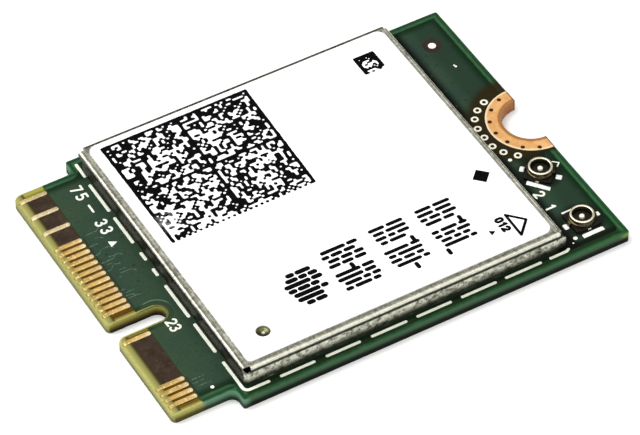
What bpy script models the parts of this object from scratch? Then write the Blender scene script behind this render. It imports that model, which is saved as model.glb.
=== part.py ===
"""Wifi card for a laptop: circuit board with edge contacts, two-piece metal shield,
paper label, two round antenna sockets, and the radio parts under the shield.

Metres, +Z up. The origin is on the board's underside, below the middle of the card.
+X runs from the edge contacts to the screw notch, and +Y across the card.
The lengths below are in millimetres.
"""

import math

import bmesh
import bpy
from mathutils import Matrix

MM = 0.001

# Circuit board
BOARD_LENGTH = 30.0
BOARD_WIDTH = 22.0
BOARD_THICKNESS = 0.8
BOARD_CORNER = 0.15
TONGUE_LENGTH = 4.0
TONGUE_WIDTH = 19.85
TONGUE_CORNER = 0.25
SHOULDER_RADIUS = 0.5
KEY_WIDTH = 1.2
KEY_DEPTH = 3.5
KEY_Y = -2.625
NOTCH_RADIUS = 1.75
NOSE_BEVEL_LENGTH = 0.4
NOSE_BEVEL_DEPTH = 0.15

# Plated land round the notch, on top, where the screw's head clamps the card
LAND_INNER = 1.8
LAND_OUTER = 2.75
LAND_HEIGHT = 0.02

# Gold contacts: odd numbers on top, even numbers below, all on one 0.5 mm raster
CONTACT_WIDTH = 0.35
CONTACT_PITCH = 0.5
CONTACT_INNER_X = -13.1
CONTACT_THICKNESS = 0.035
FIRST_TOP_Y = -9.25
FIRST_BOTTOM_Y = -9.0
TOP_CONTACTS = [1, 3, 5, 7, 23] + list(range(33, 58, 2)) + [63, 69, 75]
BOTTOM_CONTACTS = list(range(2, 23, 2)) + list(range(32, 75, 2))

# Everything that is soldered down stands this far over the board, on its solder
SOLDER = 0.02
BOARD_TOP = BOARD_THICKNESS
MOUNT_Z = BOARD_TOP + SOLDER

# Shield frame: folded sheet, walls with a flange turned inwards
FRAME_X = (-10.43, 10.65)
FRAME_Y = (-10.10, 9.98)
FRAME_TOP = 2.12
FRAME_SHEET = 0.15
FRAME_FLANGE = 0.55
FRAME_CORNER = 0.35
FRAME_BEND = 0.16
FRAME_RELIEF = 0.62
FRAME_RELIEF_DEPTH = 0.2

# Shield lid: folded sheet over the frame
LID_X = (-10.58, 10.80)
LID_Y = (-10.25, 10.13)
LID_TOP = 2.29
LID_BOTTOM = 2.03
LID_SHEET = 0.13
LID_BEND = 0.18
LID_RELIEF = 0.33
DIMPLE = (-8.15, -8.20)
DIMPLE_RADIUS = 0.34
DIMPLE_DEPTH = 0.08

# Paper label
LABEL_X = (-10.02, 10.32)
LABEL_Y = (-9.88, 10.00)
LABEL_Z = (2.31, 2.40)
LABEL_CORNER = 0.55
LABEL_HOLE_RADIUS = 0.42

# Antenna sockets: centre and turn of each
SOCKETS = [(13.05, -8.80, 0.0), (13.05, -4.20, -44.0)]
SOCKET_BASE = 1.70
SOCKET_BASE_TOP = 1.00
SOCKET_BOSS_RADIUS = 0.55
SOCKET_BOSS_TOP = 1.09
SOCKET_TOP = 1.40
RING_INNER = 0.60
RING_LIP = 0.75
RING_NECK = 0.70
RING_FOOT = 0.80
RING_FOOT_TOP = 1.10
TAB_WIDTH = 0.55
TAB_SHEET = 0.08
TAB_REACH = 1.17
PIN_RADIUS = 0.13
PIN_TOP = 1.26
PIN_HOLE_RADIUS = 0.15
TAIL_WIDTH = 0.2
TAIL_REACH = 1.05
TAIL_SHEET = 0.07
TAIL_SLOT_WIDTH = 0.25
TAIL_SLOT_TOP = 0.93

ARC_STEP = math.radians(15)
ROUND_STEPS = 28


# Collections and materials

def clear_scene():
    for item in list(bpy.data.objects):
        bpy.data.objects.remove(item, do_unlink=True)


def new_collection(name):
    made = bpy.data.collections.new(name)
    bpy.context.scene.collection.children.link(made)
    return made


def material(name, colour, roughness, metallic=0.0):
    made = bpy.data.materials.new(name)
    made.use_nodes = True
    shader = made.node_tree.nodes["Principled BSDF"]
    shader.inputs["Base Color"].default_value = (*colour, 1.0)
    shader.inputs["Roughness"].default_value = roughness
    shader.inputs["Metallic"].default_value = metallic
    made.diffuse_color = (*colour, 1.0)
    return made


def place(obj, collection, parent=None):
    collection.objects.link(obj)
    if parent is not None:
        obj.parent = parent
    return obj


def finish(obj, colour, roughness, metallic=0.0):
    obj.data.materials.clear()
    obj.data.materials.append(material(obj.name, colour, roughness, metallic))
    return obj


def hide_cutter(obj):
    obj.hide_render = True
    obj.display_type = "WIRE"
    return obj


# Outlines

def arc(cx, cy, radius, start, end):
    """Points along an arc, in degrees, with both ends."""
    a, b = math.radians(start), math.radians(end)
    steps = max(2, round(abs(b - a) / ARC_STEP))
    return [
        (cx + radius * math.cos(a + (b - a) * i / steps), cy + radius * math.sin(a + (b - a) * i / steps))
        for i in range(steps + 1)
    ]


def rounded_rectangle(xs, ys, radius):
    (x0, x1), (y0, y1) = xs, ys
    return (
        arc(x0 + radius, y0 + radius, radius, 180, 270)
        + arc(x1 - radius, y0 + radius, radius, 270, 360)
        + arc(x1 - radius, y1 - radius, radius, 0, 90)
        + arc(x0 + radius, y1 - radius, radius, 90, 180)
    )


def board_outline():
    x0, x1 = -BOARD_LENGTH / 2, BOARD_LENGTH / 2
    y1 = BOARD_WIDTH / 2
    xs = x0 + TONGUE_LENGTH
    yt = TONGUE_WIDTH / 2
    key_end = x0 + KEY_DEPTH - KEY_WIDTH / 2
    c, r, k = TONGUE_CORNER, SHOULDER_RADIUS, BOARD_CORNER
    near = [(x0 + c, -yt)] + arc(xs - r, -yt - r, r, 90, 0) + arc(xs + k, -y1 + k, k, 180, 270)
    near += arc(x1 - k, -y1 + k, k, 270, 360)
    notch = arc(x1, 0, NOTCH_RADIUS, 270, 90)
    far = [(x, -y) for x, y in reversed(near)]
    key = (
        [(x0, KEY_Y + KEY_WIDTH / 2)]
        + arc(key_end, KEY_Y, KEY_WIDTH / 2, 90, -90)
        + [(x0, KEY_Y - KEY_WIDTH / 2)]
    )
    return near + notch + far + [(x0, yt - c)] + key + [(x0, -yt + c)]


def plate(name, outlines, z0, z1, collection, parent=None):
    """A flat plate between two heights, from closed outlines. The inner ones are holes."""
    curve = bpy.data.curves.new(name, "CURVE")
    curve.dimensions = "2D"
    curve.fill_mode = "BOTH"
    curve.extrude = (z1 - z0) / 2 * MM
    for points in outlines:
        spline = curve.splines.new("POLY")
        spline.points.add(len(points) - 1)
        for point, (x, y) in zip(spline.points, points):
            point.co = (x * MM, y * MM, 0, 1)
        spline.use_cyclic_u = True
    guide = place(bpy.data.objects.new(name + "_outline", curve), collection)
    guide.location.z = (z0 + z1) / 2 * MM
    return solid_from_curve(guide, name, collection, parent)


def strip(name, outline, width, collection, parent=None):
    """A bar with its outline in the XZ plane, centred on Y."""
    curve = bpy.data.curves.new(name, "CURVE")
    curve.dimensions = "2D"
    curve.fill_mode = "BOTH"
    curve.extrude = width / 2 * MM
    spline = curve.splines.new("POLY")
    spline.points.add(len(outline) - 1)
    for point, (x, z) in zip(spline.points, outline):
        point.co = (x * MM, z * MM, 0, 1)
    spline.use_cyclic_u = True
    guide = place(bpy.data.objects.new(name + "_outline", curve), collection)
    guide.rotation_euler.x = math.pi / 2
    return solid_from_curve(guide, name, collection, parent)


def solid_from_curve(guide, name, collection, parent):
    """The closed mesh of a filled curve, in the curve's place. The curve is removed."""
    bpy.context.view_layer.update()
    evaluated = guide.evaluated_get(bpy.context.evaluated_depsgraph_get())
    mesh = bpy.data.meshes.new_from_object(evaluated)
    mesh.name = name
    bm = bmesh.new()
    bm.from_mesh(mesh)
    bmesh.ops.remove_doubles(bm, verts=bm.verts, dist=1e-7)
    bmesh.ops.recalc_face_normals(bm, faces=bm.faces)
    bm.to_mesh(mesh)
    bm.free()
    obj = bpy.data.objects.new(name, mesh)
    obj.matrix_world = guide.matrix_world.copy()
    curve = guide.data
    bpy.data.objects.remove(guide, do_unlink=True)
    bpy.data.curves.remove(curve)
    return place(obj, collection, parent)


# Solids

def box(name, size, centre, collection, parent=None, z0=None):
    """A box of a size, at a centre. With z0, the centre is in plan and z0 is its underside."""
    mesh = bpy.data.meshes.new(name)
    bm = bmesh.new()
    bmesh.ops.create_cube(bm, size=1.0, matrix=Matrix.Diagonal((size[0] * MM, size[1] * MM, size[2] * MM, 1)))
    bm.to_mesh(mesh)
    bm.free()
    obj = place(bpy.data.objects.new(name, mesh), collection, parent)
    z = centre[2] if z0 is None else z0 + size[2] / 2
    obj.location = (centre[0] * MM, centre[1] * MM, z * MM)
    return obj


def boxes(name, bounds, collection):
    """Several boxes, apart from each other, as one cutter, from their bounds on X, Y and Z."""
    mesh = bpy.data.meshes.new(name)
    bm = bmesh.new()
    for (x0, x1), (y0, y1), (z0, z1) in bounds:
        middle = Matrix.Translation(((x0 + x1) / 2 * MM, (y0 + y1) / 2 * MM, (z0 + z1) / 2 * MM))
        size = Matrix.Diagonal(((x1 - x0) * MM, (y1 - y0) * MM, (z1 - z0) * MM, 1))
        bmesh.ops.create_cube(bm, size=1.0, matrix=middle @ size)
    bm.to_mesh(mesh)
    bm.free()
    return place(bpy.data.objects.new(name, mesh), collection)


def cylinder(name, radius, z0, z1, collection, parent=None, steps=ROUND_STEPS):
    mesh = bpy.data.meshes.new(name)
    bm = bmesh.new()
    bmesh.ops.create_cone(
        bm, cap_ends=True, segments=steps, radius1=radius * MM, radius2=radius * MM, depth=(z1 - z0) * MM
    )
    bm.to_mesh(mesh)
    bm.free()
    obj = place(bpy.data.objects.new(name, mesh), collection, parent)
    obj.location.z = (z0 + z1) / 2 * MM
    return obj


def turned(name, profile, closed, collection, parent=None, steps=ROUND_STEPS):
    """A turned piece about Z. Its profile of (radius, z) runs down the outer side."""
    mesh = bpy.data.meshes.new(name)
    points = [(r * MM, 0, z * MM) for r, z in profile]
    edges = [(i, i + 1) for i in range(len(points) - 1)]
    if closed:
        edges.append((len(points) - 1, 0))
    mesh.from_pydata(points, edges, [])
    obj = place(bpy.data.objects.new(name, mesh), collection, parent)
    screw = obj.modifiers.new("Turn", "SCREW")
    screw.axis = "Z"
    screw.angle = 2 * math.pi
    screw.steps = steps
    screw.render_steps = steps
    screw.use_merge_vertices = True
    screw.merge_threshold = 1e-6
    screw.use_smooth_shade = True
    return obj


def join(target, cutter, operation):
    cut = target.modifiers.new(cutter.name, "BOOLEAN")
    cut.operation = operation
    cut.object = cutter
    cut.solver = "EXACT"
    return target


def bevel(obj, width, segments=2, angle=40):
    edge = obj.modifiers.new("Edges", "BEVEL")
    edge.width = width * MM
    edge.segments = segments
    edge.limit_method = "ANGLE"
    edge.angle_limit = math.radians(angle)
    return obj


def sheet(obj, thickness):
    wall = obj.modifiers.new("Sheet", "SOLIDIFY")
    wall.thickness = thickness * MM
    wall.offset = -1
    wall.use_even_offset = True
    return obj


# The board

def contact_gaps(numbers, first_y, first_number, z):
    """The bare laminate beside the contacts, as the boxes cut between one contact and the next."""
    half = CONTACT_WIDTH / 2
    centres = [first_y + (n - first_number) / 2 * CONTACT_PITCH for n in numbers]
    starts = [-BOARD_WIDTH / 2] + [y + half for y in centres]
    ends = [y - half for y in centres] + [BOARD_WIDTH / 2]
    xs = (-BOARD_LENGTH / 2 - 0.2, CONTACT_INNER_X)
    return [(xs, (start, end), z) for start, end in zip(starts, ends)]


def make_board(parts, cutters, card):
    board = plate("circuit_board", [board_outline()], 0, BOARD_THICKNESS, parts, card)
    top, under = BOARD_TOP - CONTACT_THICKNESS, CONTACT_THICKNESS
    bounds = contact_gaps(TOP_CONTACTS, FIRST_TOP_Y, 1, (top, BOARD_TOP + 0.2))
    bounds += contact_gaps(BOTTOM_CONTACTS, FIRST_BOTTOM_Y, 2, (-0.2, under))
    gaps = hide_cutter(boxes("contact_gaps", bounds, cutters))
    join(board, gaps, "DIFFERENCE")
    x0 = -BOARD_LENGTH / 2 + NOSE_BEVEL_LENGTH
    slope = NOSE_BEVEL_DEPTH / NOSE_BEVEL_LENGTH
    upper = [(x0, BOARD_TOP), (x0, BOARD_TOP + 0.4), (x0 - 0.8, BOARD_TOP + 0.4), (x0 - 0.8, BOARD_TOP - 0.8 * slope)]
    lower = [(x, BOARD_THICKNESS - z) for x, z in upper]
    for name, outline in (("nose_bevel_top", upper), ("nose_bevel_under", lower)):
        wedge = hide_cutter(strip(name, outline, BOARD_WIDTH + 1, cutters))
        join(board, wedge, "DIFFERENCE")
    end = BOARD_LENGTH / 2 - 0.05
    ring = [
        (min(x, end), y)
        for x, y in arc(BOARD_LENGTH / 2, 0, LAND_OUTER, 270, 90) + arc(BOARD_LENGTH / 2, 0, LAND_INNER, 90, 270)
    ]
    land = hide_cutter(plate("screw_land", [ring], BOARD_TOP - 0.1, BOARD_TOP + LAND_HEIGHT, cutters, card))
    join(board, land, "UNION")
    return finish(board, (0.035, 0.095, 0.05), 0.4)


# The shield

def make_frame(parts, cutters, card):
    """Walls and an inward flange, folded from one sheet, with a relief at each corner of the fold."""
    (x0, x1), (y0, y1) = FRAME_X, FRAME_Y
    mesh = bpy.data.meshes.new("shield_frame")
    bm = bmesh.new()
    inner_x = (x0 + FRAME_FLANGE, x1 - FRAME_FLANGE)
    inner_y = (y0 + FRAME_FLANGE, y1 - FRAME_FLANGE)
    rim = loop(bm, rounded_rectangle(FRAME_X, FRAME_Y, FRAME_CORNER), FRAME_TOP)
    mouth = loop(bm, rounded_rectangle(inner_x, inner_y, FRAME_CORNER / 2), FRAME_TOP)
    bmesh.ops.bridge_loops(bm, edges=rim + mouth)
    walls = bmesh.ops.extrude_edge_only(bm, edges=rim)
    foot = [item for item in walls["geom"] if isinstance(item, bmesh.types.BMVert)]
    bmesh.ops.translate(bm, verts=foot, vec=(0, 0, (MOUNT_Z - FRAME_TOP) * MM))
    bmesh.ops.recalc_face_normals(bm, faces=bm.faces)
    outwards(bm)
    bm.to_mesh(mesh)
    bm.free()
    frame = place(bpy.data.objects.new("shield_frame", mesh), parts, card)
    bevel(frame, FRAME_BEND, 2, 60)
    sheet(frame, FRAME_SHEET)
    z = (FRAME_TOP - FRAME_RELIEF_DEPTH, FRAME_TOP + 0.3)
    r = FRAME_RELIEF
    bounds = [
        (xs, ys, z)
        for xs in ((x0 - 0.3, x0 + r), (x1 - r, x1 + 0.3))
        for ys in ((y0 - 0.3, y0 + r), (y1 - r, y1 + 0.3))
    ]
    join(frame, hide_cutter(boxes("frame_corner_reliefs", bounds, cutters)), "DIFFERENCE")
    return finish(frame, (0.55, 0.54, 0.5), 0.35, 1.0)


def loop(bm, points, z):
    """A closed loop of edges at one height."""
    verts = [bm.verts.new((x * MM, y * MM, z * MM)) for x, y in points]
    return [bm.edges.new((a, b)) for a, b in zip(verts, verts[1:] + verts[:1])]


def outwards(bm):
    """Turns an open tray's faces so that its top faces up and its walls face out."""
    bm.normal_update()
    top = max(bm.faces, key=lambda face: face.calc_center_median().z)
    if top.normal.z < 0:
        bmesh.ops.reverse_faces(bm, faces=bm.faces)


def make_lid(parts, cutters, card):
    """A flat top with its four edges turned down, open at the corners."""
    (x0, x1), (y0, y1) = LID_X, LID_Y
    mesh = bpy.data.meshes.new("shield_lid")
    bm = bmesh.new()
    bmesh.ops.create_grid(bm, x_segments=3, y_segments=3, size=0.5)
    lines_x = [x0, x0 + LID_RELIEF, x1 - LID_RELIEF, x1]
    lines_y = [y0, y0 + LID_RELIEF, y1 - LID_RELIEF, y1]
    for vert in bm.verts:
        i, j = round((vert.co.x + 0.5) * 3), round((vert.co.y + 0.5) * 3)
        vert.co = (lines_x[i] * MM, lines_y[j] * MM, LID_TOP * MM)
    corners = [
        face
        for face in bm.faces
        if all(min(abs(face.calc_center_median()[k] / MM - end) for end in ends) < LID_RELIEF for k, ends in ((0, LID_X), (1, LID_Y)))
    ]
    bmesh.ops.delete(bm, geom=corners, context="FACES")
    rim = [edge for edge in bm.edges if edge.is_boundary and on_outside(edge)]
    skirts = bmesh.ops.extrude_edge_only(bm, edges=rim)
    foot = [item for item in skirts["geom"] if isinstance(item, bmesh.types.BMVert)]
    bmesh.ops.translate(bm, verts=foot, vec=(0, 0, (LID_BOTTOM - LID_TOP) * MM))
    bmesh.ops.recalc_face_normals(bm, faces=bm.faces)
    outwards(bm)
    bm.to_mesh(mesh)
    bm.free()
    lid = place(bpy.data.objects.new("shield_lid", mesh), parts, card)
    bevel(lid, LID_BEND, 3, 60)
    sheet(lid, LID_SHEET)
    # A ball's cap of the dimple's width and depth
    ball_radius = (DIMPLE_RADIUS**2 + DIMPLE_DEPTH**2) / (2 * DIMPLE_DEPTH)
    punch_mesh = bpy.data.meshes.new("dimple_punch")
    bm = bmesh.new()
    bmesh.ops.create_uvsphere(bm, u_segments=20, v_segments=48, radius=ball_radius * MM)
    bm.to_mesh(punch_mesh)
    bm.free()
    punch = hide_cutter(place(bpy.data.objects.new("dimple_punch", punch_mesh), cutters))
    punch.location = (DIMPLE[0] * MM, DIMPLE[1] * MM, (LID_TOP - DIMPLE_DEPTH + ball_radius) * MM)
    join(lid, punch, "DIFFERENCE")
    return finish(lid, (0.62, 0.61, 0.57), 0.32, 1.0)


def on_outside(edge):
    """Whether an edge of the flat top lies along one of the lid's four sides."""
    for k, ends in ((0, LID_X), (1, LID_Y)):
        for end in ends:
            if all(abs(vert.co[k] / MM - end) < 0.001 for vert in edge.verts):
                return True
    return False


def make_label(parts, card):
    hole = [(DIMPLE[0] + x, DIMPLE[1] + y) for x, y in arc(0, 0, LABEL_HOLE_RADIUS, 0, 345)]
    label = plate("label", [rounded_rectangle(LABEL_X, LABEL_Y, LABEL_CORNER), hole], *LABEL_Z, parts, card)
    return finish(label, (0.9, 0.9, 0.88), 0.5)


# The antenna sockets

def make_socket(number, x, y, turn, parts, cutters, card):
    name = f"rf_socket_{number}"
    seat = bpy.data.objects.new(name, None)
    place(seat, parts, card)
    seat.empty_display_size = MM
    seat.location = (x * MM, y * MM, 0)
    seat.rotation_euler.z = math.radians(turn)

    base = box(
        name + "_insulator", (SOCKET_BASE, SOCKET_BASE, SOCKET_BASE_TOP - MOUNT_Z), (0, 0), parts, seat, z0=MOUNT_Z
    )
    bevel(base, 0.06, 1)
    boss = hide_cutter(cylinder(name + "_boss", SOCKET_BOSS_RADIUS, MOUNT_Z + 0.05, SOCKET_BOSS_TOP, cutters, seat))
    join(base, boss, "UNION")
    hole = hide_cutter(cylinder(name + "_pin_hole", PIN_HOLE_RADIUS, MOUNT_Z - 0.1, SOCKET_BOSS_TOP + 0.1, cutters, seat, 16))
    join(base, hole, "DIFFERENCE")
    slot = box(
        name + "_tail_slot",
        (TAIL_SLOT_WIDTH, SOCKET_BASE / 2 + 0.2, TAIL_SLOT_TOP - MOUNT_Z + 0.1),
        (0, -(SOCKET_BASE / 2 + 0.2) / 2),
        cutters,
        seat,
        z0=MOUNT_Z - 0.1,
    )
    join(base, hide_cutter(slot), "DIFFERENCE")
    finish(base, (0.02, 0.018, 0.015), 0.45)

    ring_foot = SOCKET_BASE_TOP + 0.02
    profile = [
        (RING_LIP - 0.03, SOCKET_TOP),
        (RING_LIP, SOCKET_TOP - 0.03),
        (RING_LIP, SOCKET_TOP - 0.11),
        (RING_NECK, SOCKET_TOP - 0.17),
        (RING_NECK, RING_FOOT_TOP + 0.04),
        (RING_FOOT, RING_FOOT_TOP - 0.01),
        (RING_FOOT, ring_foot),
        (RING_INNER, ring_foot),
        (RING_INNER, SOCKET_TOP - 0.05),
        (RING_INNER + 0.04, SOCKET_TOP),
    ]
    shell = turned(name + "_shell", profile, True, parts, seat)
    outer = SOCKET_BASE / 2 + 0.02
    bent = [
        (RING_LIP - 0.02, ring_foot),
        (outer, ring_foot),
        (outer, MOUNT_Z),
        (TAB_REACH, MOUNT_Z),
        (TAB_REACH, MOUNT_Z + TAB_SHEET),
        (outer + TAB_SHEET, MOUNT_Z + TAB_SHEET),
        (outer + TAB_SHEET, ring_foot + TAB_SHEET - 0.03),
        (outer + TAB_SHEET - 0.03, ring_foot + TAB_SHEET),
        (RING_LIP - 0.02, ring_foot + TAB_SHEET),
    ]
    for side, outline in (("left", [(-r, z) for r, z in bent]), ("right", bent)):
        tab = hide_cutter(strip(f"{name}_{side}_tab", outline, TAB_WIDTH, cutters, seat))
        join(shell, tab, "UNION")
    finish(shell, (0.78, 0.68, 0.42), 0.25, 1.0)

    pin_profile = [
        (0, PIN_TOP),
        (PIN_RADIUS * 0.6, PIN_TOP - 0.015),
        (PIN_RADIUS, PIN_TOP - 0.07),
        (PIN_RADIUS, MOUNT_Z + 0.03),
        (0, MOUNT_Z + 0.03),
    ]
    pin = turned(name + "_pin", pin_profile, False, parts, seat, 16)
    tail = box(
        name + "_tail", (TAIL_WIDTH, TAIL_REACH, TAIL_SHEET), (0, -TAIL_REACH / 2), cutters, seat, z0=MOUNT_Z
    )
    join(pin, hide_cutter(tail), "UNION")
    finish(pin, (0.85, 0.7, 0.4), 0.25, 1.0)


# The parts under the shield

def make_package(name, size, x, y, parts, card, colour, roughness=0.6, edge=0.05, metallic=0.0):
    body = box(name, size, (x, y), parts, card, z0=MOUNT_Z)
    bevel(body, edge, 1)
    return finish(body, colour, roughness, metallic)


def make_end_capped(name, size, x, y, turn, parts, cutters, card, colour):
    """A ceramic part with a metal cap over each end, fired together as one piece."""
    length, width, height = size
    cap = 0.22 * length
    body = box(name, (length - cap, width - 0.04, height - 0.04), (x, y), parts, card, z0=MOUNT_Z + 0.02)
    bounds = [
        ((side * (length - cap) / 2 - cap / 2, side * (length - cap) / 2 + cap / 2), (-width / 2, width / 2), (0, height))
        for side in (-1, 1)
    ]
    caps = hide_cutter(boxes(name + "_caps", bounds, cutters))
    caps.location = (x * MM, y * MM, MOUNT_Z * MM)
    for obj in (body, caps):
        obj.rotation_euler.z = math.radians(turn)
    join(body, caps, "UNION")
    return finish(body, colour, 0.5)


def make_crystal(parts, cutters, card):
    can = box("crystal", (3.2, 2.5, 0.45), (-7.9, -2.6), parts, card, z0=MOUNT_Z)
    lid = box("crystal_cap", (2.9, 2.2, 0.3), (-7.9, -2.6), cutters, z0=MOUNT_Z + 0.35)
    bevel(lid, 0.06, 1)
    join(can, hide_cutter(lid), "UNION")
    return finish(can, (0.6, 0.6, 0.58), 0.35, 1.0)


def make_inside(parts, cutters, card):
    black = (0.02, 0.02, 0.022)
    chip_height = 0.85
    chip = make_package("radio_chip", (9.0, 9.0, chip_height), -1.6, 0.6, parts, card, black)
    dot = hide_cutter(cylinder("radio_chip_dot", 0.35, MOUNT_Z + chip_height - 0.03, MOUNT_Z + chip_height + 0.1, cutters, card, 16))
    dot.location.x, dot.location.y = -5.2 * MM, 4.2 * MM
    join(chip, dot, "DIFFERENCE")
    pad_z = MOUNT_Z + chip_height + SOLDER
    pad = box("thermal_pad", (7.0, 7.0, LID_TOP - LID_SHEET - SOLDER - pad_z), (-1.6, 0.6), parts, card, z0=pad_z)
    bevel(pad, 0.08, 2)
    finish(pad, (0.35, 0.45, 0.55), 0.9)
    make_crystal(parts, cutters, card)
    make_package("memory_chip", (3.0, 2.0, 0.55), -7.9, -6.4, parts, card, black)
    make_package("voltage_regulator", (2.5, 2.5, 0.75), -8.2, 7.3, parts, card, black)
    make_package("power_inductor_1", (2.5, 2.0, 1.0), -4.6, 7.6, parts, card, (0.05, 0.05, 0.055), 0.7, 0.12)
    make_package("power_inductor_2", (2.5, 2.0, 1.0), -1.4, 7.6, parts, card, (0.05, 0.05, 0.055), 0.7, 0.12)
    for number, y in ((1, -7.4), (2, -3.4)):
        make_package(f"front_end_module_{number}", (3.0, 3.0, 0.75), 5.9, y, parts, card, black)
        make_package(f"diplexer_{number}", (2.0, 1.25, 0.7), 8.9, y - 0.6, parts, card, (0.72, 0.7, 0.66))
        make_package(f"band_filter_{number}", (1.6, 0.8, 0.6), 3.0, y - 1.2, parts, card, (0.3, 0.3, 0.3))
    tan = (0.42, 0.29, 0.17)
    capacitor_places = [
        (4.4, 5.6, 0), (4.4, 4.4, 0), (4.4, 3.2, 0), (4.4, 2.0, 0),
        (8.6, 2.2, 90), (7.4, 2.2, 90), (-7.6, 3.4, 0), (-7.6, 2.2, 0),
    ]
    for number, (x, y, turn) in enumerate(capacitor_places, 1):
        make_end_capped(f"capacitor_{number}", (1.0, 0.5, 0.5), x, y, turn, parts, cutters, card, tan)
    resistor_places = [(-3.4, -6.2, 90), (-2.2, -6.2, 90), (-1.0, -6.2, 90), (0.2, -6.2, 90)]
    for number, (x, y, turn) in enumerate(resistor_places, 1):
        make_end_capped(f"resistor_{number}", (1.0, 0.5, 0.35), x, y, turn, parts, cutters, card, (0.03, 0.03, 0.03))


# The whole card

clear_scene()
parts = new_collection("laptop_wifi_card")
cutters = new_collection("cutters")
card = place(bpy.data.objects.new("card", None), parts)
card.empty_display_size = 5 * MM
make_board(parts, cutters, card)
make_frame(parts, cutters, card)
make_lid(parts, cutters, card)
make_label(parts, card)
for number, (x, y, turn) in enumerate(SOCKETS, 1):
    make_socket(number, x, y, turn, parts, cutters, card)
make_inside(parts, cutters, card)
for obj in parts.objects:
    if obj.type == "MESH" and obj.name.endswith(("_shell", "_pin")):
        obj.data.shade_smooth()
        obj.data.set_sharp_from_angle(angle=math.radians(35))
bpy.context.view_layer.update()
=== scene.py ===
"""The looks of the laptop wifi card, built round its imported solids.

Lengths in the tables below are in millimetres, in the card's own frame: +X from the edge
contacts to the screw notch, +Y across the card, +Z up from the board's underside.
"""

import math
import random

import bpy
import numpy as np
from mathutils import Matrix, Vector
from mathutils.geometry import delaunay_2d_cdt


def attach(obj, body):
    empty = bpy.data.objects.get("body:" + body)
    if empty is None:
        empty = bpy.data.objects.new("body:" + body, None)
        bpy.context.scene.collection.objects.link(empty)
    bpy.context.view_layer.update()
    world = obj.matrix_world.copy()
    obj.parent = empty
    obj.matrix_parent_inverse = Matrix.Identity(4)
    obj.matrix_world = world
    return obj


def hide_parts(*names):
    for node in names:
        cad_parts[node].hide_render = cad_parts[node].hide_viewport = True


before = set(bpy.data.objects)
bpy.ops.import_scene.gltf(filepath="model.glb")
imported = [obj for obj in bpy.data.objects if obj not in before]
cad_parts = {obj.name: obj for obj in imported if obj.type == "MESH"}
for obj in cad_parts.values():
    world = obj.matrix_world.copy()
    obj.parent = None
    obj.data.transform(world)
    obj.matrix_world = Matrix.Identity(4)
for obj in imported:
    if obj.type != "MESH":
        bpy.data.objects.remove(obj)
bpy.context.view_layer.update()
MM = 0.001

# ---------------------------------------------------------------- sizes

BOARD_X = (-15.0, 15.0)
BOARD_Y = 11.0
TONGUE_Y = 9.95
SHOULDER_X = -11.0
SHOULDER_RADIUS = 0.5
BOARD_CORNER = 0.15
TONGUE_CORNER = 0.31
RIM_ROUND = 0.09
KEY_Y = -2.625
KEY_END = -12.1
KEY_RADIUS = 0.6
NOTCH_RADIUS = 1.75
PLATING = 0.03
LAMINATE = (0.012, 0.778)
MASK_LOW = 0.785
BOARD_TOP = 0.80
CONTACT_INNER = -13.1
BEVEL_START = -14.6
BEVEL_SLOPE = 0.375
UNDER_BEVEL = 0.08
CONTACT_TIP = -14.9
FIRST_TOP_Y = -9.25
FIRST_UNDER_Y = -9.0
TOP_CONTACTS = [1, 3, 5, 7, 23] + list(range(33, 58, 2)) + [63, 69, 75]
UNDER_CONTACTS = list(range(2, 23, 2)) + list(range(32, 75, 2))
LAND_OUTER = 2.75
LAND_TOP = 0.82

FRAME_X = (-10.43, 11.20)
FRAME_Y = (-10.10, 9.98)
FRAME_TOP = 2.12
FRAME_SHEET = 0.15
FRAME_CORNER = 0.35
FRAME_BEND = 0.17
FRAME_FLANGE = 0.55
FRAME_RELIEF = 0.62
FRAME_RELIEF_Z = 1.92
FRAME_OPEN = 1.62  # top of the fence's corners on the contacts' side
FRAME_EAR = ((10.70, 1.79), (10.81, 1.73), (10.92, 1.65))  # its top edge running down past the cover
FRAME_STEP = 1.45  # the shoulder of the wall towards the sockets
LID_X = (-10.58, 10.82)
LID_Y = (-10.25, 10.27)
LID_Z = (2.03, 2.29)
LID_SHEET = 0.13
LID_BEND = 0.19
LID_RELIEF_X = (0.50, 0.21)
LID_RELIEF_Y = (0.26, 0.33)
PRESSED = (0.22, 0.25, 0.28, 0.31, 0.345, 0.365, 0.385, 0.41, 0.44, 0.48, 0.53)
DIMPLE = (-8.15, -8.20)
LABEL_X = (-10.02, 10.35)
LABEL_Y = (-9.86, 9.90)
LABEL_Z = (2.295, 2.392)
PRINT_Z = (2.388, 2.397)
SILK_Z = (0.781, 0.812)

SOCKETS = [(13.05, -8.80, 0.0), (13.05, -4.20, -44.0)]


# ---------------------------------------------------------------- shader helpers

def colour(code):
    parts = [int(code[i : i + 2], 16) / 255 for i in (0, 2, 4)]
    return tuple(p / 12.92 if p <= 0.04045 else ((p + 0.055) / 1.055) ** 2.4 for p in parts) + (1.0,)


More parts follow.
